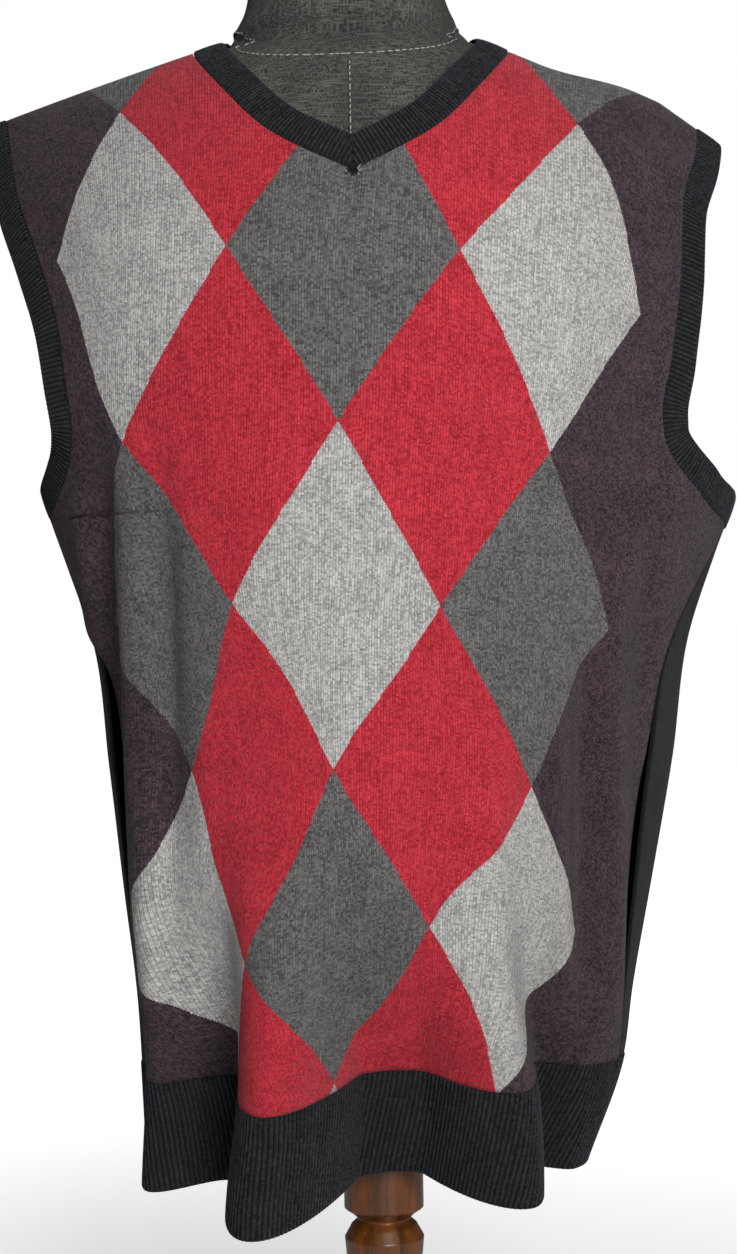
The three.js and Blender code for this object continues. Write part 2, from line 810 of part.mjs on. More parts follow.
const front = makePanel("front", LEVELS, FRONT_COLUMNS);
const back = makePanel("back", LEVELS, BACK_COLUMNS);
addPiece("front_panel", panelWall(front, KNIT), COLOURS.argyle, 0.9);
addPiece("back_panel", panelWall(back, KNIT), COLOURS.black, 0.9);
addPiece("hem_rib_front", hemStrip("front"), COLOURS.black, 0.9);
addPiece("hem_rib_back", hemStrip("back"), COLOURS.black, 0.9);

const neckLine = [
  ...edgeLine(front, "left", FRONT_COLUMNS, 0, front.splitRow),
  ...edgeLine(front, "right", FRONT_COLUMNS, front.splitRow - 1, 0),
  ...edgeLine(back, "right", BACK_COLUMNS, 0, back.splitRow),
  ...edgeLine(back, "left", BACK_COLUMNS, back.splitRow - 1, 0),
].reverse();
addPiece("neckband", edgeBand(neckLine, NECKBAND_WIDTH, NECK_RIB_PITCH, RIB), COLOURS.black, 0.9);

for (const side of ["left", "right"]) {
  const down = edgeLine(front, side, 0, 0, front.seamRows[side]);
  const up = edgeLine(back, side, 0, back.seamRows[side], 0);
  const line = [...down, ...up];
  if (side === "right") line.reverse();
  const band = edgeBand(line, ARMBAND_WIDTH, ARM_RIB_PITCH, RIB);
  addPiece(`armhole_band_${side}`, band, COLOURS.black, 0.9);
}

addPiece("form_torso", formTorso(), COLOURS.linen, 0.95);
addPiece("stand_column", standColumn(), COLOURS.wood, 0.4);
addPiece("stand_foot", standFoot(), COLOURS.wood, 0.4);

export default vest;
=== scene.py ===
import bmesh
import bpy
import numpy as np
from mathutils import Matrix


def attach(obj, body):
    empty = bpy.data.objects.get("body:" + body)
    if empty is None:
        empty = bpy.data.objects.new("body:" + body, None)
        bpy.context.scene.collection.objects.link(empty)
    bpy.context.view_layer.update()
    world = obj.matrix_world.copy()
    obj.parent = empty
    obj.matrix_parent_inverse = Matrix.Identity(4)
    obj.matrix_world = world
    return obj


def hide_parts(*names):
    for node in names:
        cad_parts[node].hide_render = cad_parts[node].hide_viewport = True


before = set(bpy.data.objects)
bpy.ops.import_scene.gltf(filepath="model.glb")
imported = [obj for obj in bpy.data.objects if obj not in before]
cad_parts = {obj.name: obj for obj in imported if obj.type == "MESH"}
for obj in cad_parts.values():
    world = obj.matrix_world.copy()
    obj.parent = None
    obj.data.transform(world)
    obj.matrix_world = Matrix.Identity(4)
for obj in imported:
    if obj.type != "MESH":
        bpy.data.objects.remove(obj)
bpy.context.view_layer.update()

# Front panel: machine knit in plain stitch from heathered wool blend yarns, with a traditional
# argyle worked in as intarsia. It hangs from the shoulder seams, rests on the chest of the form
# and falls in soft pipes at the hem. Sizes are in millimetres until a mesh is made.
MM = 0.001
SHOULDER_Z = 936
SHOULDER_X = 104
SLOPE_LEFT, SLOPE_RIGHT = 0.33, 0.46
SHOULDER_SOFTEN = 45
SHOULDER_TURNOVER = 60
NECK_PULL, PULL_FULL_X, PULL_END_X, PULL_FADE = 9, 80, 175, 65
END_BEND, SHOULDER_END_X = 0.25, 188
ROUND_HEIGHT, ROUND_POWER = 150, 2.2
CHEST_Z = 640
WAIST_Z = 610
RIB_Z = 288
HEM_Z = 219
NECK_X = -8
V_Z = 834
BACK_NECK_Z = 918
SEAM = 0.3
KNIT_THICK = 2.0

SECTION_NAMES = "z left right front back nose side power left_seam right_seam stretch middle".split()
SECTIONS = np.array([
    [219, 152, 131, 54, 102, -6, 8, 2.0, 76, 74, 1.00, -24],
    [288, 155, 157, 66, 106, -4, 13, 2.1, 75, 73, 1.00, -14],
    [330, 157, 163, 88, 106, -8, 15, 2.2, 74, 70, 1.00, -8],
    [400, 164, 176, 122, 106, -16, 16, 2.2, 72, 65, 1.00, -6],
    [480, 172, 191, 134, 106, -20, 16, 2.2, 71, 62, 1.00, -6],
    [560, 181, 203, 138, 108, -16, 14, 2.2, 74, 66, 1.01, -10],
    [610, 197, 220, 140, 112, -12, 11, 2.2, 86, 77, 1.03, -12],
    [640, 207, 231, 141, 114, -10, 10, 2.2, 90, 90, 1.04, -14],
    [720, 221, 232, 140, 118, -6, 6, 2.2, 90, 90, 1.09, -14],
    [790, 234, 236, 132, 116, -2, 4, 2.2, 90, 90, 1.14, -12],
    [842, 238, 238, 122, 110, 0, 4, 2.2, 90, 90, 1.20, -8],
    [936, 240, 240, 96, 92, 0, 4, 2.2, 90, 90, 1.30, -4],
])

FOLD_NAMES = "face low top depth half lean swell full end drop".split()
FOLDS = [
    ["front", -50, -44, 86, 41, -10, 9, 219, 450, 10],
    ["front", 72, 68, 50, 42, 7, 8, 219, 420, 5],
    ["front", 14, 14, -8, 60, 0, 0, 219, 380, -8],
    ["front", -132, -128, 24, 34, 0, 0, 219, 560, 3],
    ["front", -92, -92, -12, 34, 0, 0, 240, 600, 0],
    ["front", 106, 116, -22, 32, 0, 0, 219, 600, -2],
    ["back", -70, -58, 36, 46, -4, 4, 219, 430, 2],
    ["back", 66, 60, 44, 44, 5, 6, 219, 470, 2],
    ["back", -4, -4, -12, 60, 0, 0, 219, 560, 0],
]

ARMHOLES = {
    "left": np.array([
        [633, 209], [641, 200], [656, 190], [681, 182], [717, 185],
        [753, 190], [802, 205], [835, 217], [896, 230],
    ]),
    "right": np.array([
        [626, 226], [633, 212], [643, 201], [656, 188], [672, 178], [690, 175],
        [725, 182], [778, 191], [832, 196], [858, 206], [890, 213],
    ]),
}
BACK_SCOOP, SCOOP_FADE = 0.7, 60
NECKLINES = {
    "front": np.array([
        [V_Z, 0], [845, 22], [860, 47], [875, 63], [890, 75], [906, 87], [924, 98], [940, 103],
    ]),
    "back": np.array([[BACK_NECK_Z, 0], [919, 40], [923, 66], [930, 87], [940, 103]]),
}


def smooth_curve(z, heights, values):
    """A cubic through the values at the heights, with each slope weighed between neighbours."""
    slopes = np.gradient(values, heights)
    k = np.clip(np.searchsorted(heights, z) - 1, 0, len(heights) - 2)
    span = heights[k + 1] - heights[k]
    t = np.clip((z - heights[k]) / span, 0, 1)
    start = (2 * t**3 - 3 * t**2 + 1) * values[k] + (t**3 - 2 * t**2 + t) * span * slopes[k]
    end = (3 * t**2 - 2 * t**3) * values[k + 1] + (t**3 - t**2) * span * slopes[k + 1]
    return start + end


def section(name, level):
    """One column of the sections at these levels."""
    return smooth_curve(level, SECTIONS[:, 0], SECTIONS[:, SECTION_NAMES.index(name)])


def smooth_step(t):
    """0 below 0, 1 above 1, and three t squared less two t cubed between."""
    t = np.clip(t, 0, 1)
    return t * t * (3 - 2 * t)


def shoulder_line(x):
    """Height of the shoulder ridge: it falls from the neck point with the slope of its side. On
    the right the seam is pulled down beside the neck, and it bends over the shoulder's end."""
    slope = SLOPE_LEFT + (SLOPE_RIGHT - SLOPE_LEFT) * smooth_step((x / SHOULDER_TURNOVER + 1) / 2)
    fading = smooth_step((PULL_END_X - x) / PULL_FADE)
    pulled_down = NECK_PULL * smooth_step(x / PULL_FULL_X) * fading
    bent = END_BEND * np.maximum(x - SHOULDER_END_X, 0)
    run = np.hypot(x, SHOULDER_SOFTEN) - np.hypot(SHOULDER_X, SHOULDER_SOFTEN)
    return SHOULDER_Z - slope * run - pulled_down - bent


def row_height(level, x):
    """Height of a row at x: above the chest the rows climb in step with the shoulder line."""
    share = np.maximum(level - CHEST_Z, 0) / (SHOULDER_Z - CHEST_Z)
    return np.where(level <= CHEST_Z, level, CHEST_Z + (shoulder_line(x) - CHEST_Z) * share)


def level_at(x, z):
    """The row that passes x at height z, above the chest."""
    return CHEST_Z + (z - CHEST_Z) / (shoulder_line(x) - CHEST_Z) * (SHOULDER_Z - CHEST_Z)


def cloth_point(level, turn):
    """The unfolded garment: a rounded oval at each level, rolled in at the shoulder ridge."""
    sine, cosine = np.sin(turn), np.cos(turn)
    nose, side = section("nose", level), section("side", level)
    exponent = 2 / section("power", level)
    reach = np.where(sine >= 0, section("right", level) - nose, section("left", level) + nose)
    depth = np.where(cosine >= 0, section("front", level) + side, section("back", level) - side)
    x = nose + reach * np.sign(sine) * np.abs(sine) ** exponent
    z = row_height(level, x)
    drop = np.clip((shoulder_line(x) - z) / ROUND_HEIGHT, 0, 1)
    roll = (1 - (1 - drop) ** ROUND_POWER) ** (1 / ROUND_POWER)
    y = side - depth * np.sign(cosine) * np.abs(cosine) ** exponent * roll
    return np.stack([x, y, z], axis=-1)


def turn_at(level, x, face):
    """Turn round the oval at which its front or back passes x."""
    nose = section("nose", level)
    reach = np.where(x >= nose, section("right", level) - nose, section("left", level) + nose)
    share = np.minimum(1, np.abs(x - nose) / reach)
    angle = np.sign(x - nose) * np.arcsin(share ** (section("power", level) / 2))
    return angle if face == "front" else np.pi - angle


RING_STEPS = 1440


def running_length(points):
    """Level distance run along each row of points."""
    steps = np.hypot(*np.moveaxis(np.diff(points[..., :2], axis=1), -1, 0))
    return np.concatenate([np.zeros((len(points), 1)), np.cumsum(steps, axis=1)], axis=1)


def folded_rings(levels):
    """Closed rows of the cloth. Each fold adds a cosine bump outward and a sine swell along."""
    turns = np.linspace(-0.5 * np.pi, 1.5 * np.pi, RING_STEPS + 1)
    base = cloth_point(levels[:, None], turns[None, :])
    along = running_length(base)
    points = base.copy()
    rows = np.arange(len(levels))
    for values in FOLDS:
        fold = dict(zip(FOLD_NAMES, values))
        strength = smooth_step((fold["end"] - levels) / (fold["end"] - fold["full"]))[:, None]
        climb = np.clip((levels - HEM_Z) / (fold["end"] - HEM_Z), 0, 1)
        place = fold["low"] + (fold["top"] - fold["low"]) * climb
        way = 1 if fold["face"] == "front" else -1
        nose = RING_STEPS // 4 if way == 1 else 3 * RING_STEPS // 4
        middle = (along[:, nose] + way * place)[:, None]
        crest = np.sum(along < middle, axis=1)
        ahead = base[rows, crest + 1] - base[rows, crest - 1]
        ahead[:, 2] = 0
        ahead = (ahead / np.linalg.norm(ahead, axis=1, keepdims=True))[:, None, :]
        out = np.stack([ahead[..., 1], -ahead[..., 0], 0 * ahead[..., 0]], axis=-1)
        t = (along - middle) / fold["half"]
        inside = np.abs(t) < 1
        bump = strength * np.cos(np.pi * t / 2) ** 2 * inside
        wave = strength * np.sin(np.pi * t) * inside
        points += (fold["depth"] * bump)[..., None] * out
        points += (way * fold["lean"] * bump + fold["swell"] * wave)[..., None] * ahead
        points[..., 2] -= fold["drop"] * bump
    return points, running_length(points)


def run_at_turn(run, turn):
    """Length run at a turn, between the ring's close points."""
    exact = (turn + np.pi / 2) / (2 * np.pi) * RING_STEPS
    i = np.clip(exact.astype(int), 0, RING_STEPS - 1)
    rows = np.arange(len(run))
    return run[rows, i] + (run[rows, i + 1] - run[rows, i]) * (exact - i)


def at_runs(points, run, places):
    """Points of each ring at its own list of lengths run."""
    places = places % run[:, -1:]
    return np.stack([
        np.stack([np.interp(place, length, ring[:, axis]) for axis in range(3)], axis=-1)
        for place, length, ring in zip(places, run, points)
    ])


FARTHEST, HALVINGS = 400.0, 40


def crossing(still_inside, count):
    """The distance at which each test turns false, found by halving."""
    inside, outside = np.zeros(count), np.full(count, FARTHEST)
    for _ in range(HALVINGS):
        middle = (inside + outside) / 2
        held = still_inside(middle)
        inside, outside = np.where(held, middle, inside), np.where(held, outside, middle)
    return inside


def side_run(run, levels, face, side):
    """Length run at the panel's outer edge: its side seam, or its armhole above that."""
    sign = -1 if side == "left" else 1
    outward = sign if face == "front" else -sign
    turn = sign * np.radians(np.minimum(90, section(f"{side}_seam", levels)))
    seam = run_at_turn(run, turn)
    if face == "back" and side == "left":
        seam = seam + run[:, -1]
    seam = seam - outward * SEAM / 2
    heights, reaches = ARMHOLES[side].T.astype(float)
    scoop = 1 if face == "front" else BACK_SCOOP

    def edge(z):
        """Reach of the armhole at a height: the list's value, less scooped on the back."""
        share = smooth_step((z - CHEST_Z) / SCOOP_FADE) * (1 - scoop)
        reach = smooth_curve(z, heights, reaches)
        return reach + np.maximum(0, reaches[-1] - reach) * share

    x = sign * crossing(lambda reach: reach < edge(row_height(levels, sign * reach)), len(levels))
    armhole = run_at_turn(run, turn_at(levels, x, face))
    above = (levels > heights[0]) & (outward * (seam - armhole) > 0)
    return np.where(above, armhole, seam)


def middle_run(run, levels, face, side, split):
    """Length run at the panel's inner edge: the neckline, or the middle below it."""
    sign = -1 if side == "left" else 1
    heights, halves = NECKLINES[face].T.astype(float)

    def still_open(half):
        """Whether this distance from the middle is still within the neck opening."""
        return half <= smooth_curve(row_height(levels, NECK_X + sign * half), heights, halves)

    half = crossing(still_open, len(levels))
    x = np.where(levels > split + 1e-6, NECK_X + sign * half, NECK_X)
    return run_at_turn(run, turn_at(levels, x, face))


# Rows of the panels from the top down. They crowd at the shoulder ridge, where the cloth turns over.
V_LEVEL = float(level_at(NECK_X, V_Z))
BACK_NECK_LEVEL = float(level_at(NECK_X, BACK_NECK_Z))
LEVELS = np.concatenate([
    SHOULDER_Z + (BACK_NECK_LEVEL - SHOULDER_Z) * np.linspace(0, 1, 17)[:-1] ** 1.9,
    np.linspace(BACK_NECK_LEVEL, V_LEVEL, 29)[:-1],
    np.linspace(V_LEVEL, CHEST_Z, 60)[:-1],
    np.linspace(CHEST_Z, WAIST_Z, 14)[:-1],
    np.linspace(WAIST_Z, RIB_Z + SEAM / 2, 100),
])
HALF_COLUMNS = 84
RINGS, RUNS = folded_rings(LEVELS)


def grid_normals(points):
    """Unit normals of a grid whose rows run down and whose columns run along the face."""
    down = np.gradient(points, axis=0)
    ahead = np.gradient(points, axis=1)
    normal = np.cross(down, ahead)
    return normal / np.maximum(np.linalg.norm(normal, axis=-1, keepdims=True), 1e-9)


RING_NORMALS = grid_normals(RINGS)


def panel_grid(face):
    """Rows and columns of a panel, their normals, and each point's length run from the middle
    of its face."""
    split = V_LEVEL if face == "front" else BACK_NECK_LEVEL
    first, last = ("left", "right") if face == "front" else ("right", "left")
    share = np.linspace(0, 1, HALF_COLUMNS + 1)[None, :]
    edges = [side_run(RUNS, LEVELS, face, side)[:, None] for side in (first, last)]
    middles = [middle_run(RUNS, LEVELS, face, side, split)[:, None] for side in (first, last)]
    places = np.concatenate([
        edges[0] + (middles[0] - edges[0]) * share,
        middles[1] + (edges[1] - middles[1]) * share,
    ], axis=1)
    points = at_runs(RINGS, RUNS, places)
    points[0, :, 1] = section("side", LEVELS[0]) + (-SEAM / 2 if face == "front" else SEAM / 2)
    normals = at_runs(RING_NORMALS, RUNS, places)
    normals /= np.linalg.norm(normals, axis=-1, keepdims=True)
    nose = RING_STEPS // 4 if face == "front" else 3 * RING_STEPS // 4
    return points, normals, places - RUNS[:, nose:nose + 1]


# Where the cloth is pulled or dented: start x, z and end x, z of each crease on its face, how
# far it stands out and how wide it is. Each fades out over a part of its length at both ends.
CREASE_FADE = 0.5
CREASES = {
    "front": [
        (172, 668, 96, 606, -3.2, 15),
        (178, 640, 120, 520, 2.6, 17),
        (150, 720, 118, 640, -1.8, 16),
        (196, 800, 172, 730, -1.6, 14),
        (126, 560, 125, 320, -8.0, 10),
        (144, 560, 146, 310, 5.0, 9),
        (166, 620, 160, 330, -6.0, 8),
        (-178, 668, -128, 590, -2.4, 14),
        (-126, 640, -126, 350, -8.0, 10),
        (-147, 660, -147, 350, 5.0, 9),
        (-165, 640, -164, 400, -8.0, 8),
        (-178, 650, -174, 480, 4.0, 6),
        (-100, 520, -104, 400, 3.0, 10),
        (-196, 820, -170, 740, -1.8, 14),
        (-64, 700, -56, 600, 1.2, 14),
        (-36, 520, -46, 380, 1.8, 20),
        (24, 560, 34, 400, -1.8, 22),
        (74, 500, 70, 360, 1.8, 18),
        (60, 720, 72, 600, 1.4, 16),
    ],
    "back": [
        (168, 672, 104, 600, -3.0, 16),
        (-172, 676, -110, 596, -3.2, 16),
        (150, 640, 120, 500, 2.2, 18),
        (-152, 640, -128, 490, 2.4, 18),
        (-20, 840, -10, 700, 1.4, 24),
        (60, 560, 66, 400, 2.0, 20),
        (-66, 540, -62, 380, 1.8, 20),
    ],
}


def creased(points, normals, creases):
    """Moves points along their normals by a bell across each crease that fades at its ends."""
    x, z = points[..., 0], points[..., 2]
    height = np.zeros_like(x)
    for x0, z0, x1, z1, depth, half in creases:
        length = np.hypot(x1 - x0, z1 - z0)
        along = ((x - x0) * (x1 - x0) + (z - z0) * (z1 - z0)) / length**2
        across = ((x - x0) * (z1 - z0) - (z - z0) * (x1 - x0)) / length
        begins = smooth_step((along + CREASE_FADE / 2) / CREASE_FADE)
        fade = begins * smooth_step((1 + CREASE_FADE / 2 - along) / CREASE_FADE)
        height += depth * fade * np.exp(-((across / half) ** 2))
    return points + height[..., None] * normals


# The argyle is set out in half diamonds. The worn knit is pulled about, so each crossing lies
# off its even place by these millimetres to the right and upward: rows of crossings from the
# top down, columns from three half diamonds left of the middle to three right.
DIAMOND_HALF = (62.0, 101.5)
ARGYLE_Z = 791
FIRST_ROW, FIRST_COLUMN = -3, -3
PULLED_RIGHT = np.array([
    [22, 8, 2, 0, -8, -13, -20],
    [22, 8, 2, 0, -8, -13, -20],
    [22, 8, 2, 0, -12, -16, -22],
    [34, 7, 1, 0, -2, -6, -26],
    [12, 1, 4, 3, 5, -2, -30],
    [20, 24, 4, 2, 1, -5, -15],
    [5, 33, 30, 1, 4, -3, -50],
    [-8, 20, -5, -4, -13, -6, -42],
    [-20, -8, -25, -26, -22, -27, -5],
    [-20, -8, -25, -26, -22, -27, -5],
], float)
PULLED_UP = np.array([
    [14, 7, -4, -10, -14, -10, -32],
    [14, 7, -4, -10, -14, -10, -32],
    [14, 7, -8, -13, -15, -8, -32],
    [19, 8, -3, -9, -12, -17, -36],
    [10, -8, -8, -7, -12, -23, -34],
    [-18, -15, -8, -6, -11, -17, -30],
    [-14, -9, -1, -3, -7, -19, -24],
    [-20, -12, -17, -4, 4, -7, -12],
    [0, 12, 18, 7, 2, 2, -10],
    [0, 12, 18, 7, 2, 2, -10],
], float)


def crossing_weights(t):
    """Weights of four neighbours in a cubic that passes through the two middle ones."""
    return [
        (-t + 2 * t**2 - t**3) / 2,
        (2 - 5 * t**2 + 3 * t**3) / 2,
        (t + 4 * t**2 - 3 * t**3) / 2,
        (t**3 - t**2) / 2,
    ]


def pulled(table, across, down):
    """The table's value between its crossings, cubic both ways and held beyond its ends."""
    c = np.clip(across - FIRST_COLUMN, 0, table.shape[1] - 1.001)
    r = np.clip(down - FIRST_ROW, 0, table.shape[0] - 1.001)
    c0, r0 = c.astype(int), r.astype(int)
    total = np.zeros_like(across)
    for i, row_weight in enumerate(crossing_weights(r - r0)):
        row = np.clip(r0 + i - 1, 0, table.shape[0] - 1)
        for k, column_weight in enumerate(crossing_weights(c - c0)):
            column = np.clip(c0 + k - 1, 0, table.shape[1] - 1)
            total += row_weight * column_weight * table[row, column]
    return total


def argyle_place(run):
    """Where each point of the front lies in the flat knit, in metres from the top crossing."""
    level = LEVELS[:, None]
    across = (run - section("middle", level)) / section("stretch", level) / DIAMOND_HALF[0]
    down = (ARGYLE_Z - level) / DIAMOND_HALF[1] + 0 * across
    right = pulled(PULLED_RIGHT, across, down)
    up = pulled(PULLED_UP, across, down)
    return np.stack([across * DIAMOND_HALF[0] - right, -down * DIAMOND_HALF[1] - up], axis=-1) * MM


def grid_faces(rows, columns, start=0, closed=False):
    """Four-cornered faces between neighbouring rows and columns, facing outward."""
    ids = start + np.arange(rows * columns).reshape(rows, columns)
    if closed:
        ids = np.concatenate([ids, ids[:, :1]], axis=1)
    corners = [ids[:-1, :-1], ids[1:, :-1], ids[1:, 1:], ids[:-1, 1:]]
    return np.stack(corners, axis=-1).reshape(-1, 4)


def add_piece(name, mesh):
    """Puts a mesh in the scene, smooth, as a piece whose own place is the origin."""
    mesh.shade_smooth()
    piece = bpy.data.objects.new(name, mesh)
    bpy.context.scene.collection.objects.link(piece)
    return piece


def add_mesh(name, points, faces, places=None, merge=0.0):
    """A smooth mesh from points in millimetres, with its flat places as a UV map."""
    mesh = bpy.data.meshes.new(name)
    mesh.from_pydata((points.reshape(-1, 3) * MM).tolist(), [], faces.tolist())
    if places is not None:
        corners = np.empty(len(mesh.loops), np.int32)
        mesh.loops.foreach_get("vertex_index", corners)
        layer = mesh.uv_layers.new(name="flat")
        layer.data.foreach_set("uv", places.reshape(-1, 2)[corners].astype(np.float32).ravel())
    if merge:
        shape = bmesh.new()
        shape.from_mesh(mesh)
        bmesh.ops.remove_doubles(shape, verts=shape.verts, dist=merge * MM)
        shape.to_mesh(mesh)
        shape.free()
    return add_piece(name, mesh)


def thicken(piece, thickness):
    """Gives a cloth its wall, inward from the outer face."""
    wall = piece.modifiers.new("wall", "SOLIDIFY")
    wall.thickness = thickness * MM
    wall.offset = -1


def node(material, kind, inputs=None, **settings):
    """Adds a node, sets its choices, and fills its sockets with values or other sockets."""
    made = material.node_tree.nodes.new(kind)
    for name, value in settings.items():
        setattr(made, name, value)
    for socket, value in (inputs or {}).items():
        if isinstance(value, bpy.types.NodeSocket):
            material.node_tree.links.new(value, made.inputs[socket])
        else:
            made.inputs[socket].default_value = value
    return made


def linear(hex_colour):
    """An sRGB hex value as a linear colour."""
    channels = np.array([int(hex_colour[i:i + 2], 16) / 255 for i in (1, 3, 5)])
    low = channels / 12.92
    high = ((channels + 0.055) / 1.055) ** 2.4
    return (*np.where(channels <= 0.04045, low, high), 1.0)


def new_material(name):
    """An empty node material and its surface shader."""
    material = bpy.data.materials.new(name)
    material.use_nodes = True
    return material, material.node_tree.nodes["Principled BSDF"]


def set_surface(material, shader, colour, bump, roughness, specular):
    """Joins a colour and a bump to the shader, and sets how dull the surface is."""
    material.node_tree.links.new(colour, shader.inputs["Base Color"])
    material.node_tree.links.new(bump.outputs["Normal"], shader.inputs["Normal"])
    shader.inputs["Roughness"].default_value = roughness
    shader.inputs["Specular IOR Level"].default_value = specular


# A stitch is one wale wide and one course high. Its two legs slant into a V, dip a little where
# they loop, fall into the groove between wales and part along the middle.
WALE = 1.6 * MM
COURSE = 1.25 * MM
LEG_SLANT, LOOP_DIP = 1.6, 0.16
GROOVE_FROM, MIDDLE_HALF, MIDDLE_LOW = 0.26, 0.16, 0.72


def stitch_relief(material, place, wale=WALE, course=COURSE):
    """Height of plain stitches: a leg each side of the wale, slanting into a V, and a groove
    between wales. Returns the height and the stitch's own cell."""
    scaled = node(material, "ShaderNodeVectorMath", {0: place, 1: (1 / wale, 1 / course, 1)},
                  operation="MULTIPLY").outputs["Vector"]
    cell = node(material, "ShaderNodeVectorMath", {0: scaled}, operation="FLOOR").outputs["Vector"]
    part = node(material, "ShaderNodeSeparateXYZ", {0: scaled})
    inside = node(material, "ShaderNodeMath", {0: part.outputs["X"]}, operation="FRACT").outputs[0]
    off = node(material, "ShaderNodeMath", {0: inside, 1: 0.5}, operation="SUBTRACT").outputs[0]
    off = node(material, "ShaderNodeMath", {0: off}, operation="ABSOLUTE").outputs[0]
    slant = node(material, "ShaderNodeMath", {0: off, 1: -LEG_SLANT, 2: part.outputs["Y"]},
                 operation="MULTIPLY_ADD").outputs[0]
    turn = node(material, "ShaderNodeMath", {0: slant, 1: 2 * np.pi}, operation="MULTIPLY").outputs[0]
    loop = node(material, "ShaderNodeMath", {0: turn}, operation="COSINE").outputs[0]
    loop = node(material, "ShaderNodeMath", {0: loop, 1: LOOP_DIP, 2: 1 - LOOP_DIP},
                operation="MULTIPLY_ADD").outputs[0]
    groove = node(material, "ShaderNodeMapRange", {0: off, 1: GROOVE_FROM, 2: 0.5, 3: 1.0, 4: 0.0},
                  interpolation_type="SMOOTHSTEP").outputs[0]
    middle = node(material, "ShaderNodeMapRange",
                  {0: off, 1: 0.0, 2: MIDDLE_HALF, 3: MIDDLE_LOW, 4: 1.0},
                  interpolation_type="SMOOTHSTEP").outputs[0]
    leg = node(material, "ShaderNodeMath", {0: groove, 1: middle}, operation="MULTIPLY").outputs[0]
    height = node(material, "ShaderNodeMath", {0: leg, 1: loop}, operation="MULTIPLY").outputs[0]
    return height, cell


DASHES_PER_M = (1400, 700, 1)
CHANCE_SHARE, DASH_SHARE, CLOUD_SHARE, FIBRE_BIAS = 0.6, 1.2, 0.3, 0.25


def heather(material, place, cell):
    """Share of the paler fibre: chance from stitch to stitch, short dashes along the wales and
    slow clouds, together about a half."""
    chance = node(material, "ShaderNodeTexWhiteNoise", {"Vector": cell}, noise_dimensions="2D")
    stretched = node(material, "ShaderNodeVectorMath", {0: place, 1: DASHES_PER_M},
                     operation="MULTIPLY").outputs["Vector"]
    yarn = node(material, "ShaderNodeTexNoise", {"Vector": stretched, "Scale": 1.0, "Detail": 2.0,
                                                 "Roughness": 0.7}, noise_dimensions="2D")
    clouds = node(material, "ShaderNodeTexNoise", {"Vector": place, "Scale": 45.0, "Detail": 2.0},
                  noise_dimensions="2D")
    mixed = node(material, "ShaderNodeMath",
                 {0: chance.outputs["Value"], 1: CHANCE_SHARE, 2: -CHANCE_SHARE / 2},
                 operation="MULTIPLY_ADD").outputs[0]
    mixed = node(material, "ShaderNodeMath", {0: yarn.outputs["Fac"], 1: DASH_SHARE, 2: mixed},
                 operation="MULTIPLY_ADD").outputs[0]
    mixed = node(material, "ShaderNodeMath", {0: clouds.outputs["Fac"], 1: CLOUD_SHARE, 2: mixed},
                 operation="MULTIPLY_ADD").outputs[0]
    return node(material, "ShaderNodeMath", {0: mixed, 1: FIBRE_BIAS}, operation="SUBTRACT",
                use_clamp=True).outputs[0]


STREAKS_PER_M = (700, 45, 1)
STREAK_DARK, STREAK_PALE = 0.86, 1.13
# Colour on the stitch crests, a little painted light; the grooves get painted shade.
CREST_SHADE = 1.06


def finish_knit(material, shader, place, colour, height, depth=0.5, groove=0.72):
    """Paints shade into the grooves and a little light on the crests, makes some wales stand out in
    long uneven streaks, and gives the knit its bump, dry roughness and faint fibre sheen."""
    stretched = node(material, "ShaderNodeVectorMath", {0: place, 1: STREAKS_PER_M},
                     operation="MULTIPLY").outputs["Vector"]
    streaks = node(material, "ShaderNodeTexNoise", {"Vector": stretched, "Scale": 1.0, "Detail": 2.0},
                   noise_dimensions="2D").outputs["Fac"]
    # Painted shade and light: the stitch height darkens the colour in the grooves between wales and
    # lightens it a little on the crests.
    shade = node(material, "ShaderNodeMapRange",
                 {0: height, 1: 0.0, 2: 1.0, 3: groove, 4: CREST_SHADE}).outputs[0]
    streaked = node(material, "ShaderNodeMapRange",
                    {0: streaks, 1: 0.3, 2: 0.7, 3: STREAK_DARK, 4: STREAK_PALE}).outputs[0]
    shade = node(material, "ShaderNodeMath", {0: shade, 1: streaked}, operation="MULTIPLY").outputs[0]
    shaded = node(material, "ShaderNodeMix", {0: 1.0, 6: colour, 7: shade},
                  data_type="RGBA", blend_type="MULTIPLY")
    raised = node(material, "ShaderNodeMath", {0: streaks, 1: 1.2, 2: height},
                  operation="MULTIPLY_ADD").outputs[0]
    bump = node(material, "ShaderNodeBump", {"Height": raised, "Distance": depth * MM,
                                             "Strength": 0.7})
    set_surface(material, shader, shaded.outputs[2], bump, 0.95, 0.12)
    shader.inputs["Sheen Weight"].default_value = 0.06
    shader.inputs["Sheen Roughness"].default_value = 0.5


# Each yarn of the argyle is a heather: a dark and a pale fibre spun together. The diamonds come
# round again after four steps along a diagonal, and the outer columns keep to the base yarn.
REPEAT = 4.0
YARNS = {
    "red": ("#8A1624", "#CC3B48"),
    "light_grey": ("#777675", "#C9C7C3"),
    "dark_grey": ("#343333", "#777574"),
    "base": ("#121014", "#55454C"),
}


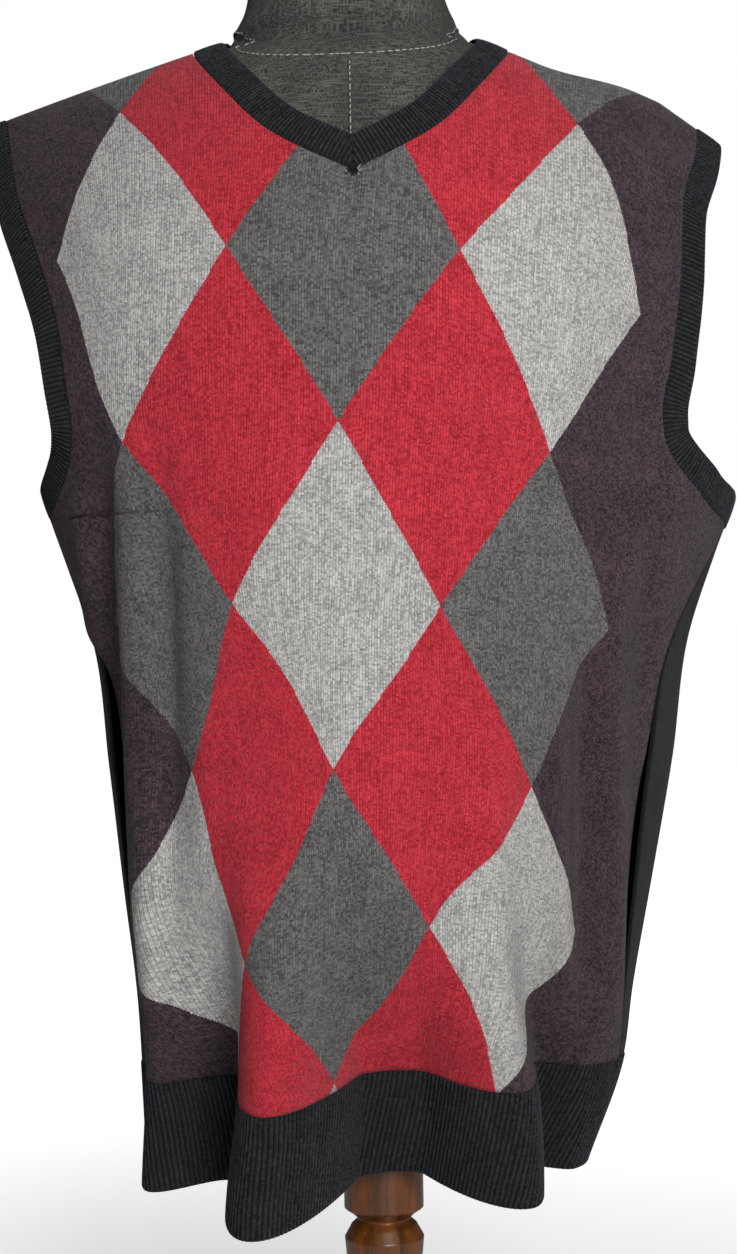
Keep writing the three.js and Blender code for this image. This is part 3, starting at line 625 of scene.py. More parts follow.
def argyle_knit():
    """Wool blend knit: the diamond of each leg of a stitch is found by rounding its place along
    the two diagonals, so the edges step from leg to leg as intarsia does."""
    material, shader = new_material("argyle_intarsia_wool_knit")
    place = node(material, "ShaderNodeUVMap", uv_map="flat").outputs["UV"]
    height, cell = stitch_relief(material, place)
    leg = (WALE / 2, COURSE, 0)
    scaled = node(material, "ShaderNodeVectorMath", {0: place, 1: (1 / leg[0], 1 / leg[1], 1)},
                  operation="MULTIPLY").outputs["Vector"]
    legs = node(material, "ShaderNodeVectorMath", {0: scaled}, operation="FLOOR").outputs["Vector"]
    stitch = node(material, "ShaderNodeVectorMath",
                  {0: legs, 1: leg, 2: (leg[0] / 2, leg[1] / 2, 0)},
                  operation="MULTIPLY_ADD").outputs["Vector"]
    width, length = (2 * half * MM for half in DIAMOND_HALF)
    diagonals = []
    for sign in (1, -1):
        along = node(material, "ShaderNodeVectorMath", {0: stitch, 1: (1 / width, -sign / length, 0)},
                     operation="DOT_PRODUCT").outputs["Value"]
        diagonals.append(node(material, "ShaderNodeMath", {0: along}, operation="ROUND").outputs[0])
    column = node(material, "ShaderNodeMath", {0: diagonals[0], 1: diagonals[1]},
                  operation="ADD").outputs[0]
    column = node(material, "ShaderNodeMath", {0: column}, operation="ABSOLUTE").outputs[0]
    row = node(material, "ShaderNodeMath", {0: diagonals[0], 1: diagonals[1]},
               operation="SUBTRACT").outputs[0]
    kind = node(material, "ShaderNodeMath", {0: column, 1: row}, operation="ADD").outputs[0]
    kind = node(material, "ShaderNodeMath", {0: kind, 1: REPEAT},
                operation="FLOORED_MODULO").outputs[0]
    choices = [
        ("light_grey", node(material, "ShaderNodeMath", {0: kind, 1: 2.0, 2: 0.5},
                            operation="COMPARE").outputs[0]),
        ("red", node(material, "ShaderNodeMath", {0: column, 1: 1.0, 2: 0.5},
                     operation="COMPARE").outputs[0]),
        ("base", node(material, "ShaderNodeMath", {0: column, 1: 2.5},
                      operation="GREATER_THAN").outputs[0]),
    ]
    fibres = []
    for shade in (0, 1):
        colour = linear(YARNS["dark_grey"][shade])
        for yarn, chosen in choices:
            colour = node(material, "ShaderNodeMix",
                          {0: chosen, 6: colour, 7: linear(YARNS[yarn][shade])},
                          data_type="RGBA").outputs[2]
        fibres.append(colour)
    share = heather(material, place, cell)
    colour = node(material, "ShaderNodeMix", {0: share, 6: fibres[0], 7: fibres[1]},
                  data_type="RGBA").outputs[2]
    finish_knit(material, shader, place, colour, height)
    return material


front_points, front_normals, front_run = panel_grid("front")
front_points = creased(front_points, front_normals, CREASES["front"])
half_faces = grid_faces(len(LEVELS), 2 * HALF_COLUMNS + 2)
on_slit = (half_faces[:, 0] % (2 * HALF_COLUMNS + 2)) == HALF_COLUMNS
panel_faces = half_faces[~on_slit]
front_panel = add_mesh("front_panel_knit", front_points, panel_faces, argyle_place(front_run), 0.01)
front_panel.data.materials.append(argyle_knit())
thicken(front_panel, KNIT_THICK)
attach(front_panel, "root")
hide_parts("front_panel")

# Back panel: the same plain stitch in solid black yarn, cut without the V. It meets the front
# at the shoulder and side seams.
def black_knit():
    """Black wool blend knit with a faint charcoal fibre in it."""
    material, shader = new_material("black_wool_plain_knit")
    place = node(material, "ShaderNodeUVMap", uv_map="flat").outputs["UV"]
    height, cell = stitch_relief(material, place)
    share = heather(material, place, cell)
    colour = node(material, "ShaderNodeMix",
                  {0: share, 6: linear("#09090B"), 7: linear("#1C1C20")},
                  data_type="RGBA").outputs[2]
    finish_knit(material, shader, place, colour, height)
    return material


back_points, back_normals, back_run = panel_grid("back")
back_points = creased(back_points, back_normals, CREASES["back"])
back_places = np.stack([back_run, LEVELS[:, None] + 0 * back_run], axis=-1) * MM
back_panel = add_mesh("back_panel_knit", back_points, panel_faces, back_places, 0.01)
back_panel.data.materials.append(black_knit())
thicken(back_panel, KNIT_THICK)
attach(back_panel, "root")
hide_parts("back_panel")

# Hem ribs: one by one ribbing knitted on to the bottom of each panel, joined at the side seams.
# The ribs stand proud as round cords and the cast-off edge rolls in.
RIB_INSIDE = 1.7
HEM_PITCH = 3.3
HEM_ROWS = 14
CAST_OFF = np.array([1.0, 0.3, 0.0])
CAST_OFF_RISE = [0.7, 0.2, -0.7]


def rib_knit():
    """Black ribbing: each rib is a column of stitches, and the furrows between carry painted shade."""
    material, shader = new_material("black_wool_rib_knit")
    place = node(material, "ShaderNodeUVMap", uv_map="flat").outputs["UV"]
    height, cell = stitch_relief(material, place, wale=1.65 * MM, course=1.3 * MM)
    share = heather(material, place, cell)
    colour = node(material, "ShaderNodeMix",
                  {0: share, 6: linear("#101113"), 7: linear("#34353A")},
                  data_type="RGBA").outputs[2]
    # Painted shade: each point's share of the rib's height darkens the colour toward the furrows.
    crest = node(material, "ShaderNodeAttribute", attribute_name="crest").outputs["Fac"]
    shade = node(material, "ShaderNodeMapRange", {0: crest, 1: 0.0, 2: 1.0, 3: 0.2, 4: 1.0})
    colour = node(material, "ShaderNodeMix", {0: 1.0, 6: colour, 7: shade.outputs[0]},
                  data_type="RGBA", blend_type="MULTIPLY").outputs[2]
    finish_knit(material, shader, place, colour, height, depth=0.3, groove=0.85)
    return material


RIB_FINISH = rib_knit()
RIB_COLUMNS = 8
FURROW_POWER, RIB_RISE, RIB_SINK = 1.6, 1.35, 0.6


def rib_crest(columns):
    """Share of a rib's height along ribbing: 0 in each narrow furrow, 1 on each rounded cord."""
    wave = np.cos(2 * np.pi * np.arange(columns) / RIB_COLUMNS)
    return 1 - ((1 + wave) / 2) ** FURROW_POWER


def rib_height(columns):
    """Height over the base of points along ribbing."""
    return RIB_RISE * rib_crest(columns) - RIB_SINK


def ribbed_wall(name, outer, inner, flat, closed):
    """A wall with ribs outside and a plain inside: the outer rows run down and the inner rows
    back up. Each point keeps its share of the rib's height, which the finish reads to paint shade in the
    furrows."""
    rows, columns = outer.shape[:2]
    points = np.concatenate([outer, inner[::-1]])
    faces = grid_faces(2 * rows, columns, closed=closed)
    ids = np.arange(2 * rows * columns).reshape(2 * rows, columns)
    last, first = ids[-1:], ids[:1]
    ends = np.concatenate([last, first])
    if closed:
        ends = np.concatenate([ends, ends[:, :1]], axis=1)
    rim = np.stack([ends[0, :-1], ends[1, :-1], ends[1, 1:], ends[0, 1:]], axis=-1)
    faces = np.concatenate([faces, rim])
    if not closed:
        out, back_up = ids[:rows], ids[rows:][::-1]
        for column, flip in ((0, False), (-1, True)):
            side = np.stack([out[:-1, column], back_up[:-1, column],
                             back_up[1:, column], out[1:, column]], axis=-1)
            faces = np.concatenate([faces, side[:, ::-1] if flip else side])
    piece = add_mesh(name, points, faces, np.concatenate([flat, flat[::-1]]))
    layer = piece.data.attributes.new("crest", "FLOAT", "POINT")
    layer.data.foreach_set("value", np.tile(rib_crest(columns), 2 * rows).astype(np.float32))
    return piece


def hem_rib(face):
    """Ribbing between the panel's last row and the cast-off edge, on the folded rings."""
    levels = np.concatenate([
        np.linspace(RIB_Z - SEAM / 2, HEM_Z + 2, HEM_ROWS), HEM_Z + CAST_OFF,
    ])
    rings, runs = folded_rings(levels)
    left = run_at_turn(runs, -np.radians(np.minimum(90, section("left_seam", levels))))
    right = run_at_turn(runs, np.radians(np.minimum(90, section("right_seam", levels))))
    start, end = (left, right) if face == "front" else (right, left + runs[:, -1])
    ribs = round(float(end[-1] - start[-1]) / HEM_PITCH)
    share = np.linspace(0, 1, ribs * RIB_COLUMNS + 1)[None, :]
    places = start[:, None] + (end - start)[:, None] * share + (0.5 - share) * SEAM
    points = at_runs(rings, runs, places)
    normals = grid_normals(points)
    edge = np.array([*np.ones(HEM_ROWS), *CAST_OFF_RISE])[:, None]
    rise = rib_height(share.size)[None, :] * np.maximum(edge, 0) + np.minimum(edge, 0)
    flat = np.stack([0 * levels[:, None] + np.arange(share.size) * HEM_PITCH / RIB_COLUMNS,
                     levels[:, None] + 0 * share], axis=-1) * MM
    piece = ribbed_wall(f"hem_rib_{face}_knit", points + rise[..., None] * normals,
                        points - RIB_INSIDE * normals, flat, closed=False)
    piece.data.materials.append(RIB_FINISH)
    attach(piece, "root")
    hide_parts(f"hem_rib_{face}")
    return piece


hem_front = hem_rib("front")
hem_back = hem_rib("back")

# Neckband and armhole bands: narrow ribbing picked up along the cut edges and cast off. The
# neckband is mitred at the point of the V.
BAND_SEAM = 0.4
BAND_WIDTH = 21
NECK_PITCH, ARM_PITCH = 2.8, 3.0
NORMAL_CALM, AHEAD_CALM = 10, 14
MITRE_ZONE, MITRE_GAP, MITRE_LEAST = 60, 0.25, 0.3
BAND_CROWN, EDGE_SINK = 0.5, 0.5
BAND_SHARE = np.array([0.0, 0.02, 0.06, 0.14, 0.25, 0.38, 0.52, 0.66, 0.78, 0.88, 0.95, 0.985, 1.0])
BAND_EDGE = ([0, 0.06, 0.9, 0.97, 1.0], [0.1, 1, 1, 0.6, 0.0])


def band_line(pieces):
    """One closed line of edge points with their normals, end to end."""
    points = np.concatenate([points for points, _ in pieces])
    normals = np.concatenate([normals for _, normals in pieces])
    keep = np.linalg.norm(points - np.roll(points, 1, axis=0), axis=1) > 0.05
    return points[keep], normals[keep]


def evenly(points, normals, count):
    """The closed line again with evenly spaced points."""
    closed = np.concatenate([points, points[:1]])
    turned = np.concatenate([normals, normals[:1]])
    run = np.concatenate([[0], np.cumsum(np.linalg.norm(np.diff(closed, axis=0), axis=1))])
    places = np.arange(count) / count * run[-1]
    even = np.stack([np.interp(places, run, closed[:, axis]) for axis in range(3)], axis=-1)
    facing = np.stack([np.interp(places, run, turned[:, axis]) for axis in range(3)], axis=-1)
    return even, facing, run[-1]


def calmed(values, reach):
    """A closed list of vectors averaged with its neighbours under a bell."""
    offsets = np.arange(-3 * reach, 3 * reach + 1)
    bell = np.exp(-0.5 * (offsets / reach) ** 2)
    total = sum(w * np.roll(values, -k, axis=0) for k, w in zip(offsets, bell))
    return total / np.linalg.norm(total, axis=1, keepdims=True)


def band(name, line, node_name, pitch, mitre_x=None):
    """Ribbing that carries the edge on by the band's width, square to it and to the normal."""
    points, normals = line
    length = np.linalg.norm(points - np.roll(points, 1, axis=0), axis=1).sum()
    count = 2 * round(length / pitch / 2) * RIB_COLUMNS
    points, normals, length = evenly(points, normals, count)
    normals = calmed(normals, NORMAL_CALM)
    ahead = np.roll(points, -2, axis=0) - np.roll(points, 2, axis=0)
    ahead = ahead / np.linalg.norm(ahead, axis=1, keepdims=True)
    in_front = (points[:, 1] < 0) & (points[:, 2] < V_Z + MITRE_ZONE)
    if mitre_x is None:
        ahead = calmed(ahead, AHEAD_CALM)
    else:
        at_v = in_front & (np.abs(points[:, 0] - mitre_x) < MITRE_ZONE)
        ahead = np.where(at_v[:, None], ahead, calmed(ahead, AHEAD_CALM))
    across = np.cross(ahead, normals)
    across = across / np.linalg.norm(across, axis=1, keepdims=True)
    width = np.full(count, float(BAND_WIDTH))
    if mitre_x is not None:
        toward = -np.sign(points[:, 0] - mitre_x) * across[:, 0]
        reach = (np.abs(points[:, 0] - mitre_x) - MITRE_GAP) / np.maximum(toward, 0.05)
        width = np.where(in_front, np.clip(reach, MITRE_LEAST, BAND_WIDTH), width)
    out = BAND_SEAM + (width[None, :] - BAND_SEAM) * BAND_SHARE[:, None]
    edge = np.interp(BAND_SHARE, *BAND_EDGE)[:, None]
    crown = BAND_CROWN * np.sin(np.pi * BAND_SHARE)[:, None]
    rise = rib_height(count)[None, :] * edge + crown - EDGE_SINK * (1 - edge)
    base = points + out[..., None] * across
    flat = np.stack([0 * out + np.arange(count) * pitch / RIB_COLUMNS, -out], axis=-1) * MM
    outer = base + rise[..., None] * normals
    inner = base + (crown - RIB_INSIDE)[..., None] * normals
    piece = ribbed_wall(name, outer[::-1], inner[::-1], flat[::-1], closed=True)
    piece.data.materials.append(RIB_FINISH)
    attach(piece, "root")
    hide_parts(node_name)
    return piece


def edge_of(grid, column, rows):
    """One column of a grid, over these rows."""
    points, normals = grid
    return points[rows, column], normals[rows, column]


front = (front_points, front_normals)
back = (back_points, back_normals)
middle_column, last_column = HALF_COLUMNS, 2 * HALF_COLUMNS + 1
front_split = int(np.argmax(LEVELS <= V_LEVEL + 1e-6))
back_split = int(np.argmax(LEVELS <= BACK_NECK_LEVEL + 1e-6))
neck_line = band_line([
    edge_of(front, middle_column, np.arange(0, front_split + 1)),
    edge_of(front, middle_column + 1, np.arange(front_split - 1, -1, -1)),
    edge_of(back, middle_column, np.arange(0, back_split + 1)),
    edge_of(back, middle_column + 1, np.arange(back_split - 1, -1, -1)),
])
neck_line = (neck_line[0][::-1], neck_line[1][::-1])
neckband = band("neckband_knit", neck_line, "neckband", NECK_PITCH, mitre_x=NECK_X)

for side in ("left", "right"):
    last_row = int(np.argmax(LEVELS <= ARMHOLES[side][0, 0]))
    front_column, back_column = (0, last_column) if side == "left" else (last_column, 0)
    arm_line = band_line([
        edge_of(front, front_column, np.arange(0, last_row + 1)),
        edge_of(back, back_column, np.arange(last_row, -1, -1)),
    ])
    if side == "right":
        arm_line = (arm_line[0][::-1], arm_line[1][::-1])
    band(f"armhole_band_{side}_knit", arm_line, f"armhole_band_{side}", ARM_PITCH)

# Point of the V: a knot of black stitches sewn over the foot of the mitre, and a few frayed ends
# of grey yarn beside it.
STITCH_RINGS, STITCH_SIDES = 7, 6
KNOT_PROUD = 2.4
BLACK_YARN, GREY_YARN = 0.8, 0.28


def spun_yarn(name, dark, pale):
    """Spun yarn or thread: dull, with a fine uneven twist."""
    material, shader = new_material(name)
    place = node(material, "ShaderNodeTexCoord").outputs["Object"]
    twist = node(material, "ShaderNodeTexNoise", {"Vector": place, "Scale": 2200.0, "Detail": 2.0})
    colour = node(material, "ShaderNodeMix",
                  {0: twist.outputs["Fac"], 6: linear(dark), 7: linear(pale)}, data_type="RGBA")
    bump = node(material, "ShaderNodeBump", {"Height": twist.outputs["Fac"], "Distance": 0.2 * MM})
    set_surface(material, shader, colour.outputs[2], bump, 0.9, 0.2)
    return material


def stitches(centres, ahead, normals, lengths, radius):
    """One spindle for each stitch: circles along it whose radius follows a half ellipse."""
    along = np.cos(np.linspace(np.pi, 0, STITCH_RINGS))
    around = np.linspace(0, 2 * np.pi, STITCH_SIDES + 1)[:-1]
    side = np.cross(ahead, normals)
    reach = (lengths[:, None, None] / 2 * along[None, :, None])[..., None] * ahead[:, None, None, :]
    girth = radius * np.sqrt(np.maximum(1 - along**2, 0.01))[None, :, None, None]
    ring = (np.cos(around)[None, None, :, None] * side[:, None, None, :]
            + np.sin(around)[None, None, :, None] * normals[:, None, None, :])
    points = centres[:, None, None, :] + reach + girth * ring
    count, rows, columns = points.shape[:3]
    faces = np.concatenate([grid_faces(rows, columns, start=k * rows * columns, closed=True)
                            for k in range(count)]).tolist()
    ends = [k * rows * columns + np.arange(columns) for k in range(count)]
    faces += [first[::-1].tolist() for first in ends]
    faces += [(first + (rows - 1) * columns).tolist() for first in ends]
    return points.reshape(-1, 3), faces


def add_stitches(name, shape, material):
    """A piece from many stitches, with its faces turned outward."""
    points, faces = shape
    mesh = bpy.data.meshes.new(name)
    mesh.from_pydata((points * MM).tolist(), [], faces)
    turned_out = bmesh.new()
    turned_out.from_mesh(mesh)
    bmesh.ops.recalc_face_normals(turned_out, faces=turned_out.faces)
    turned_out.to_mesh(mesh)
    turned_out.free()
    piece = add_piece(name, mesh)
    piece.data.materials.append(material)
    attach(piece, "root")
    return piece


def knot(place, normal, strokes, radius):
    """Stitches beside a place on the cloth: right and up from it, slant in degrees, length."""
    right, up, slant, lengths = np.array(strokes, float).T
    across = np.cross(normal, [0, 0, 1])
    across /= -np.linalg.norm(across)
    rise = np.cross(across, normal)
    rise *= np.sign(rise[2])
    centres = place + right[:, None] * across + up[:, None] * rise + KNOT_PROUD * normal
    angle = np.radians(slant)[:, None]
    ahead = np.cos(angle) * across + np.sin(angle) * rise
    return stitches(centres, ahead, np.tile(normal, (len(strokes), 1)), lengths, radius)


V_PLACE = front_points[front_split, middle_column]
V_NORMAL = front_normals[front_split, middle_column]
BLACK_STROKES = [(-1.6, -0.6, 62, 6.5), (0.2, -1.2, 88, 7.5), (1.8, -0.4, 118, 6.5),
                 (-0.4, 0.8, 12, 5.5), (0.6, -2.6, -20, 5.0)]
GREY_STROKES = [(3.6, 0.6, 48, 4.6), (4.4, -1.4, 20, 3.8), (2.8, -3.4, -35, 4.0),
                (-3.4, -2.2, 140, 3.4)]
add_stitches("neckband_point_stitches", knot(V_PLACE, V_NORMAL, BLACK_STROKES, BLACK_YARN),
             spun_yarn("black_wool_sewing_yarn", "#070708", "#1B1B1E"))
add_stitches("neckband_frayed_ends", knot(V_PLACE, V_NORMAL, GREY_STROKES, GREY_YARN),
             spun_yarn("grey_wool_yarn_end", "#6F6D6B", "#B9B6B1"))

# Dress form: a limbless torso covered in dark slubby linen, cut flat at the arms, with a seam
# round the base of the neck and one down the middle of the front, both closed with pale stitches.
FORM_NAMES = "z left right front back power".split()
FORM = np.array([
    [372, 120, 124, 78, 80, 2.4],
    [376, 132, 136, 86, 86, 2.4],
    [388, 139, 143, 91, 89, 2.4],
    [420, 143, 147, 99, 92, 2.4],
    [480, 147, 153, 108, 94, 2.4],
    [560, 155, 162, 116, 97, 2.4],
    [620, 172, 178, 123, 103, 2.3],
    [660, 190, 194, 129, 108, 2.3],
    [700, 205, 208, 132, 111, 2.3],
    [760, 214, 214, 128, 111, 2.2],
    [820, 218, 216, 115, 104, 2.2],
    [856, 226, 220, 100, 95, 2.2],
    [876, 236, 226, 90, 87, 2.2],
    [890, 240, 230, 83, 80, 2.2],
    [902, 240, 230, 77, 72, 2.2],
    [913, 240, 230, 72, 64, 2.2],
    [923, 240, 230, 67, 56, 2.2],
    [932, 100, 86, 63, 49, 2.1],
    [941, 89, 67, 60, 45, 2.0],
    [955, 79, 58, 57, 46, 2.0],
    [978, 73, 50, 55, 48, 2.0],
    [1002, 71, 46, 54, 49, 2.0],
    [1034, 70, 45, 54, 50, 2.0],
    [1037, 67, 42, 51, 47, 2.0],
])
FORM_INSET, FORM_SHRINK = 3.1, 0.965
FORM_AXIS_Y = 4
ARM_CUT_X = 186
NECK_FREE_FROM, NECK_FREE_OVER = 930, 18


def shoulder_reach(z, sign):
    """Half width at which the shoulder line has dropped to this height."""
    return crossing(lambda x: shoulder_line(sign * x) > z, z.size).reshape(z.shape)


def form_grid(heights, turns):
    """Ovals of the form, held inside the cloth that lies on it up to where the neck comes free
    of it, and cut flat at the arms."""
    z = heights[:, None] + 0 * turns[None, :]
    values = {name: smooth_curve(heights, FORM[:, 0], FORM[:, i])[:, None]
              for i, name in enumerate(FORM_NAMES)}
    sine, cosine = np.sin(turns)[None, :], np.cos(turns)[None, :]
    exponent = 2 / values["power"]
    free = smooth_step((heights - NECK_FREE_FROM) / NECK_FREE_OVER)[:, None]
    left, right = (
        free * values[side] + (1 - free) * np.minimum(
            values[side], shoulder_reach(heights + FORM_INSET, sign)[:, None])
        for side, sign in (("left", -1), ("right", 1)))
    x = (right - left) / 2 + (left + right) / 2 * np.sign(sine) * np.abs(sine) ** exponent
    x = np.clip(x, -ARM_CUT_X, ARM_CUT_X)
    toward = np.where(cosine >= 0, 1, -1)
    depth = np.where(cosine >= 0, values["front"], values["back"]) + toward * FORM_AXIS_Y
    depth = depth * np.abs(cosine) ** exponent
    level = np.where(z < CHEST_Z, z, level_at(x, z + FORM_INSET))
    turn = np.where(cosine >= 0, turn_at(level, x, "front"), turn_at(level, x, "back"))
    limit = np.abs(cloth_point(level, turn)[..., 1] - FORM_AXIS_Y) * FORM_SHRINK
    smaller = np.minimum(depth, limit)
    blend = np.maximum(0.25 * smaller, 1e-6)
    rounding = np.maximum(0, blend - np.abs(depth - limit)) / blend
    held = np.maximum(0, smaller - rounding**2 * blend / 4)
    held = np.where(z + FORM_INSET < shoulder_line(x), held, depth)
    depth = free * depth + (1 - free) * held
    return np.stack([x, FORM_AXIS_Y - toward * depth, z], axis=-1)


def linen():
    """Dark linen cover: plain weave with uneven slubs, worn paler where the yarns rise."""
    material, shader = new_material("dark_slub_linen_weave")
    place = node(material, "ShaderNodeTexCoord").outputs["Object"]
    threads = []
    for streak in ((1100, 1100, 70), (70, 1100, 1100)):
        stretched = node(material, "ShaderNodeVectorMath", {0: place, 1: streak},
                         operation="MULTIPLY").outputs["Vector"]
        threads.append(node(material, "ShaderNodeTexNoise",
                            {"Vector": stretched, "Scale": 1.0, "Detail": 2.0}).outputs["Fac"])
    woven = node(material, "ShaderNodeMath", {0: threads[0], 1: threads[1]},
                 operation="MAXIMUM").outputs[0]
    clouds = node(material, "ShaderNodeTexNoise", {"Vector": place, "Scale": 28.0, "Detail": 4.0})
    pale = node(material, "ShaderNodeMapRange", {0: woven, 1: 0.42, 2: 0.72, 3: 0.0, 4: 1.0}).outputs[0]
    worn = node(material, "ShaderNodeMapRange",
                {0: clouds.outputs["Fac"], 1: 0.35, 2: 0.7, 3: 0.55, 4: 1.0}).outputs[0]
    share = node(material, "ShaderNodeMath", {0: pale, 1: worn}, operation="MULTIPLY").outputs[0]
    colour = node(material, "ShaderNodeMix",
                  {0: share, 6: linear("#262524"), 7: linear("#6E6B66")},
                  data_type="RGBA").outputs[2]
    bump = node(material, "ShaderNodeBump", {"Height": woven, "Distance": 0.4 * MM, "Strength": 0.7})
    set_surface(material, shader, colour, bump, 0.92, 0.2)
    return material


FORM_HEIGHTS = np.concatenate([
    np.linspace(372, 388, 7)[:-1], np.linspace(388, 840, 80)[:-1], np.linspace(840, 960, 60)[:-1],
    np.linspace(960, 1034, 20)[:-1], np.linspace(1034, 1037, 4),
])
FORM_TURNS = np.linspace(0, 2 * np.pi, 193)[:-1]
form_points = form_grid(FORM_HEIGHTS, FORM_TURNS)[::-1]


def capped(points):
    """A closed grid of rings, rows from the top down, with a fan over each end."""
    rows, columns = points.shape[:2]
    ends = [points[0].mean(axis=0), points[-1].mean(axis=0)]
    every = np.concatenate([points.reshape(-1, 3), ends])
    faces = grid_faces(rows, columns, closed=True).tolist()
    around = np.arange(columns)
    following = (around + 1) % columns
    base = (rows - 1) * columns
    top = np.stack([around, following, np.full(columns, rows * columns)], axis=1)
    low = np.stack([base + following, base + around, np.full(columns, rows * columns + 1)], axis=1)
    return every, faces + top.tolist() + low.tolist()


def add_solid(name, points):
    """A closed turned or lofted solid as a smooth piece."""
    every, faces = capped(points)
    mesh = bpy.data.meshes.new(name)
    mesh.from_pydata((every * MM).tolist(), [], faces)
    return add_piece(name, mesh)


form = add_solid("form_torso_linen", form_points)
form.data.materials.append(linen())
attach(form, "root")
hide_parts("form_torso")

NECK_SEAM_LOW, NECK_SEAM_RISE = 917, 31
FRONT_SEAM_X = -9
SEAM_HALF, SEAM_PROUD = 1.3, 0.45
STITCH, STITCH_PITCH, STITCH_SLANT, THREAD = 3.0, 4.2, 7, 0.36
CORD_SIDES = 8


def neck_seam(shift=0.0):
    """Closed path round the neck: low at the front, and higher by a sine squared at the sides."""
    turns = np.linspace(-np.pi, np.pi, 361)
    heights = np.where(np.cos(turns) > 0,
                       NECK_SEAM_LOW + NECK_SEAM_RISE * np.sin(turns) ** 2 + shift,
                       NECK_SEAM_LOW + NECK_SEAM_RISE + shift)
    steps = np.arange(len(turns))
    return form_grid(heights, turns)[steps, steps]


def front_seam(shift=0.0):
    """Path down the middle of the front, from the neck seam to the form's lower edge."""
    heights = np.linspace(NECK_SEAM_LOW - 2, 384, 260)
    rings = form_grid(heights, np.linspace(-np.pi / 2, np.pi / 2, 241))
    x = FRONT_SEAM_X + shift
    depth = np.array([np.interp(x, ring[:, 0], ring[:, 1]) for ring in rings])
    return np.stack([np.full(len(heights), x), depth, heights], axis=-1)


def seam_frame(path, beside):
    """Unit vectors along a seam, across it and out of the form."""
    ahead = np.gradient(path, axis=0)
    ahead /= np.linalg.norm(ahead, axis=1, keepdims=True)
    out = np.cross(ahead, beside - path)
    out /= np.linalg.norm(out, axis=1, keepdims=True)
    out *= np.where(np.sum(out * (path - [0, FORM_AXIS_Y, 0]) * [1, 1, 0], axis=1) < 0, -1, 1)[:, None]
    return ahead, np.cross(out, ahead), out


def seam_cord(path, frame_of_path):
    """The lapped edge of the linen as a flat oval tube along its seam."""
    ahead, across, out = frame_of_path
    angles = np.linspace(0, 2 * np.pi, CORD_SIDES + 1)[:-1][None, :, None]
    return (path[:, None, :] + SEAM_HALF * np.cos(angles) * across[:, None, :]
            + SEAM_PROUD * np.sin(angles) * out[:, None, :])


def seam_stitches(path, frame_of_path):
    """Evenly spaced stitches that lie along the seam, each a few degrees off its line."""
    ahead, across, out = frame_of_path
    run = np.concatenate([[0], np.cumsum(np.linalg.norm(np.diff(path, axis=0), axis=1))])
    places = np.arange(STITCH_PITCH, run[-1] - STITCH, STITCH_PITCH)
    at = np.clip(np.searchsorted(run, places), 0, len(path) - 1)
    slant = np.radians(RANDOM.normal(0, STITCH_SLANT, len(at)))[:, None]
    turned_ahead = np.cos(slant) * ahead[at] + np.sin(slant) * across[at]
    lengths = STITCH * RANDOM.uniform(0.8, 1.15, len(at))
    return stitches(path[at] + SEAM_PROUD * out[at], turned_ahead, out[at], lengths, THREAD)


RANDOM = np.random.default_rng(7)
SEAM_THREAD = spun_yarn("pale_cotton_sewing_thread", "#8E8A82", "#D3CFC6")
for name, seam in (("neck", neck_seam), ("front", front_seam)):
    path = seam()
    frame_of_path = seam_frame(path, seam(1.0))
    cord = add_solid(f"form_{name}_seam_linen", seam_cord(path, frame_of_path))
    cord.data.materials.append(form.data.materials[0])
    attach(cord, "root")
    add_stitches(f"form_{name}_seam_stitches", seam_stitches(path, frame_of_path),
                 SEAM_THREAD)

# Stand: a column and a round foot turned from a dark stained hardwood, with a satin varnish.
COLUMN = np.array([
    [24.3, 44], [32, 45], [37, 41], [40, 31], [50, 24], [70, 19], [100, 17], [128, 18.5],
    [140, 22], [143, 24.5], [149, 24.5], [152, 20], [155, 20], [164, 24.5], [175, 25.5],
    [183, 21], [187, 16.5], [191, 21], [194, 25.5], [232, 25.5], [236, 22], [243, 19],
    [330, 19], [350, 22], [354, 34], [371.7, 36],
])
PLAIN_FROM = 250
COLUMN_SIDES, FOOT_SIDES = 96, 128
FOOT_RADIUS, FOOT_HEIGHT, FOOT_EDGE, FOOT_FLAT = 160, 24, 6, 60


def turned_wood():
    """Stained hardwood: long grain stretched up the column, darker pores, satin varnish."""
    material, shader = new_material("stained_hardwood_satin_varnish")
    place = node(material, "ShaderNodeTexCoord").outputs["Object"]
    stretched = node(material, "ShaderNodeVectorMath", {0: place, 1: (90, 90, 9)},
                     operation="MULTIPLY").outputs["Vector"]
    grain = node(material, "ShaderNodeTexNoise", {"Vector": stretched, "Scale": 1.0, "Detail": 6.0,
                                                  "Roughness": 0.6, "Distortion": 0.6})
    pores = node(material, "ShaderNodeTexNoise", {"Vector": stretched, "Scale": 9.0, "Detail": 2.0})
    mixed = node(material, "ShaderNodeMath", {0: pores.outputs["Fac"], 1: 0.35,
                                              2: grain.outputs["Fac"]},
                 operation="MULTIPLY_ADD").outputs[0]
    share = node(material, "ShaderNodeMapRange", {0: mixed, 1: 0.45, 2: 0.95, 3: 0.0, 4: 1.0}).outputs[0]
    colour = node(material, "ShaderNodeMix",
                  {0: share, 6: linear("#2A1405"), 7: linear("#7C4514")},
                  data_type="RGBA").outputs[2]
    bump = node(material, "ShaderNodeBump", {"Height": mixed, "Distance": 0.15 * MM, "Strength": 0.4})
    set_surface(material, shader, colour, bump, 0.42, 0.35)
    shader.inputs["Coat Weight"].default_value = 0.2
    shader.inputs["Coat Roughness"].default_value = 0.18
    return material


def turned(profile, sides):
    """A profile of heights and radii, from the top down, carried round the Z axis."""
    turns = np.linspace(0, 2 * np.pi, sides + 1)[:-1]
    radius, z = profile[:, 1, None], profile[:, 0, None]
    return np.stack([radius * np.sin(turns), -radius * np.cos(turns), z + 0 * turns], axis=-1)


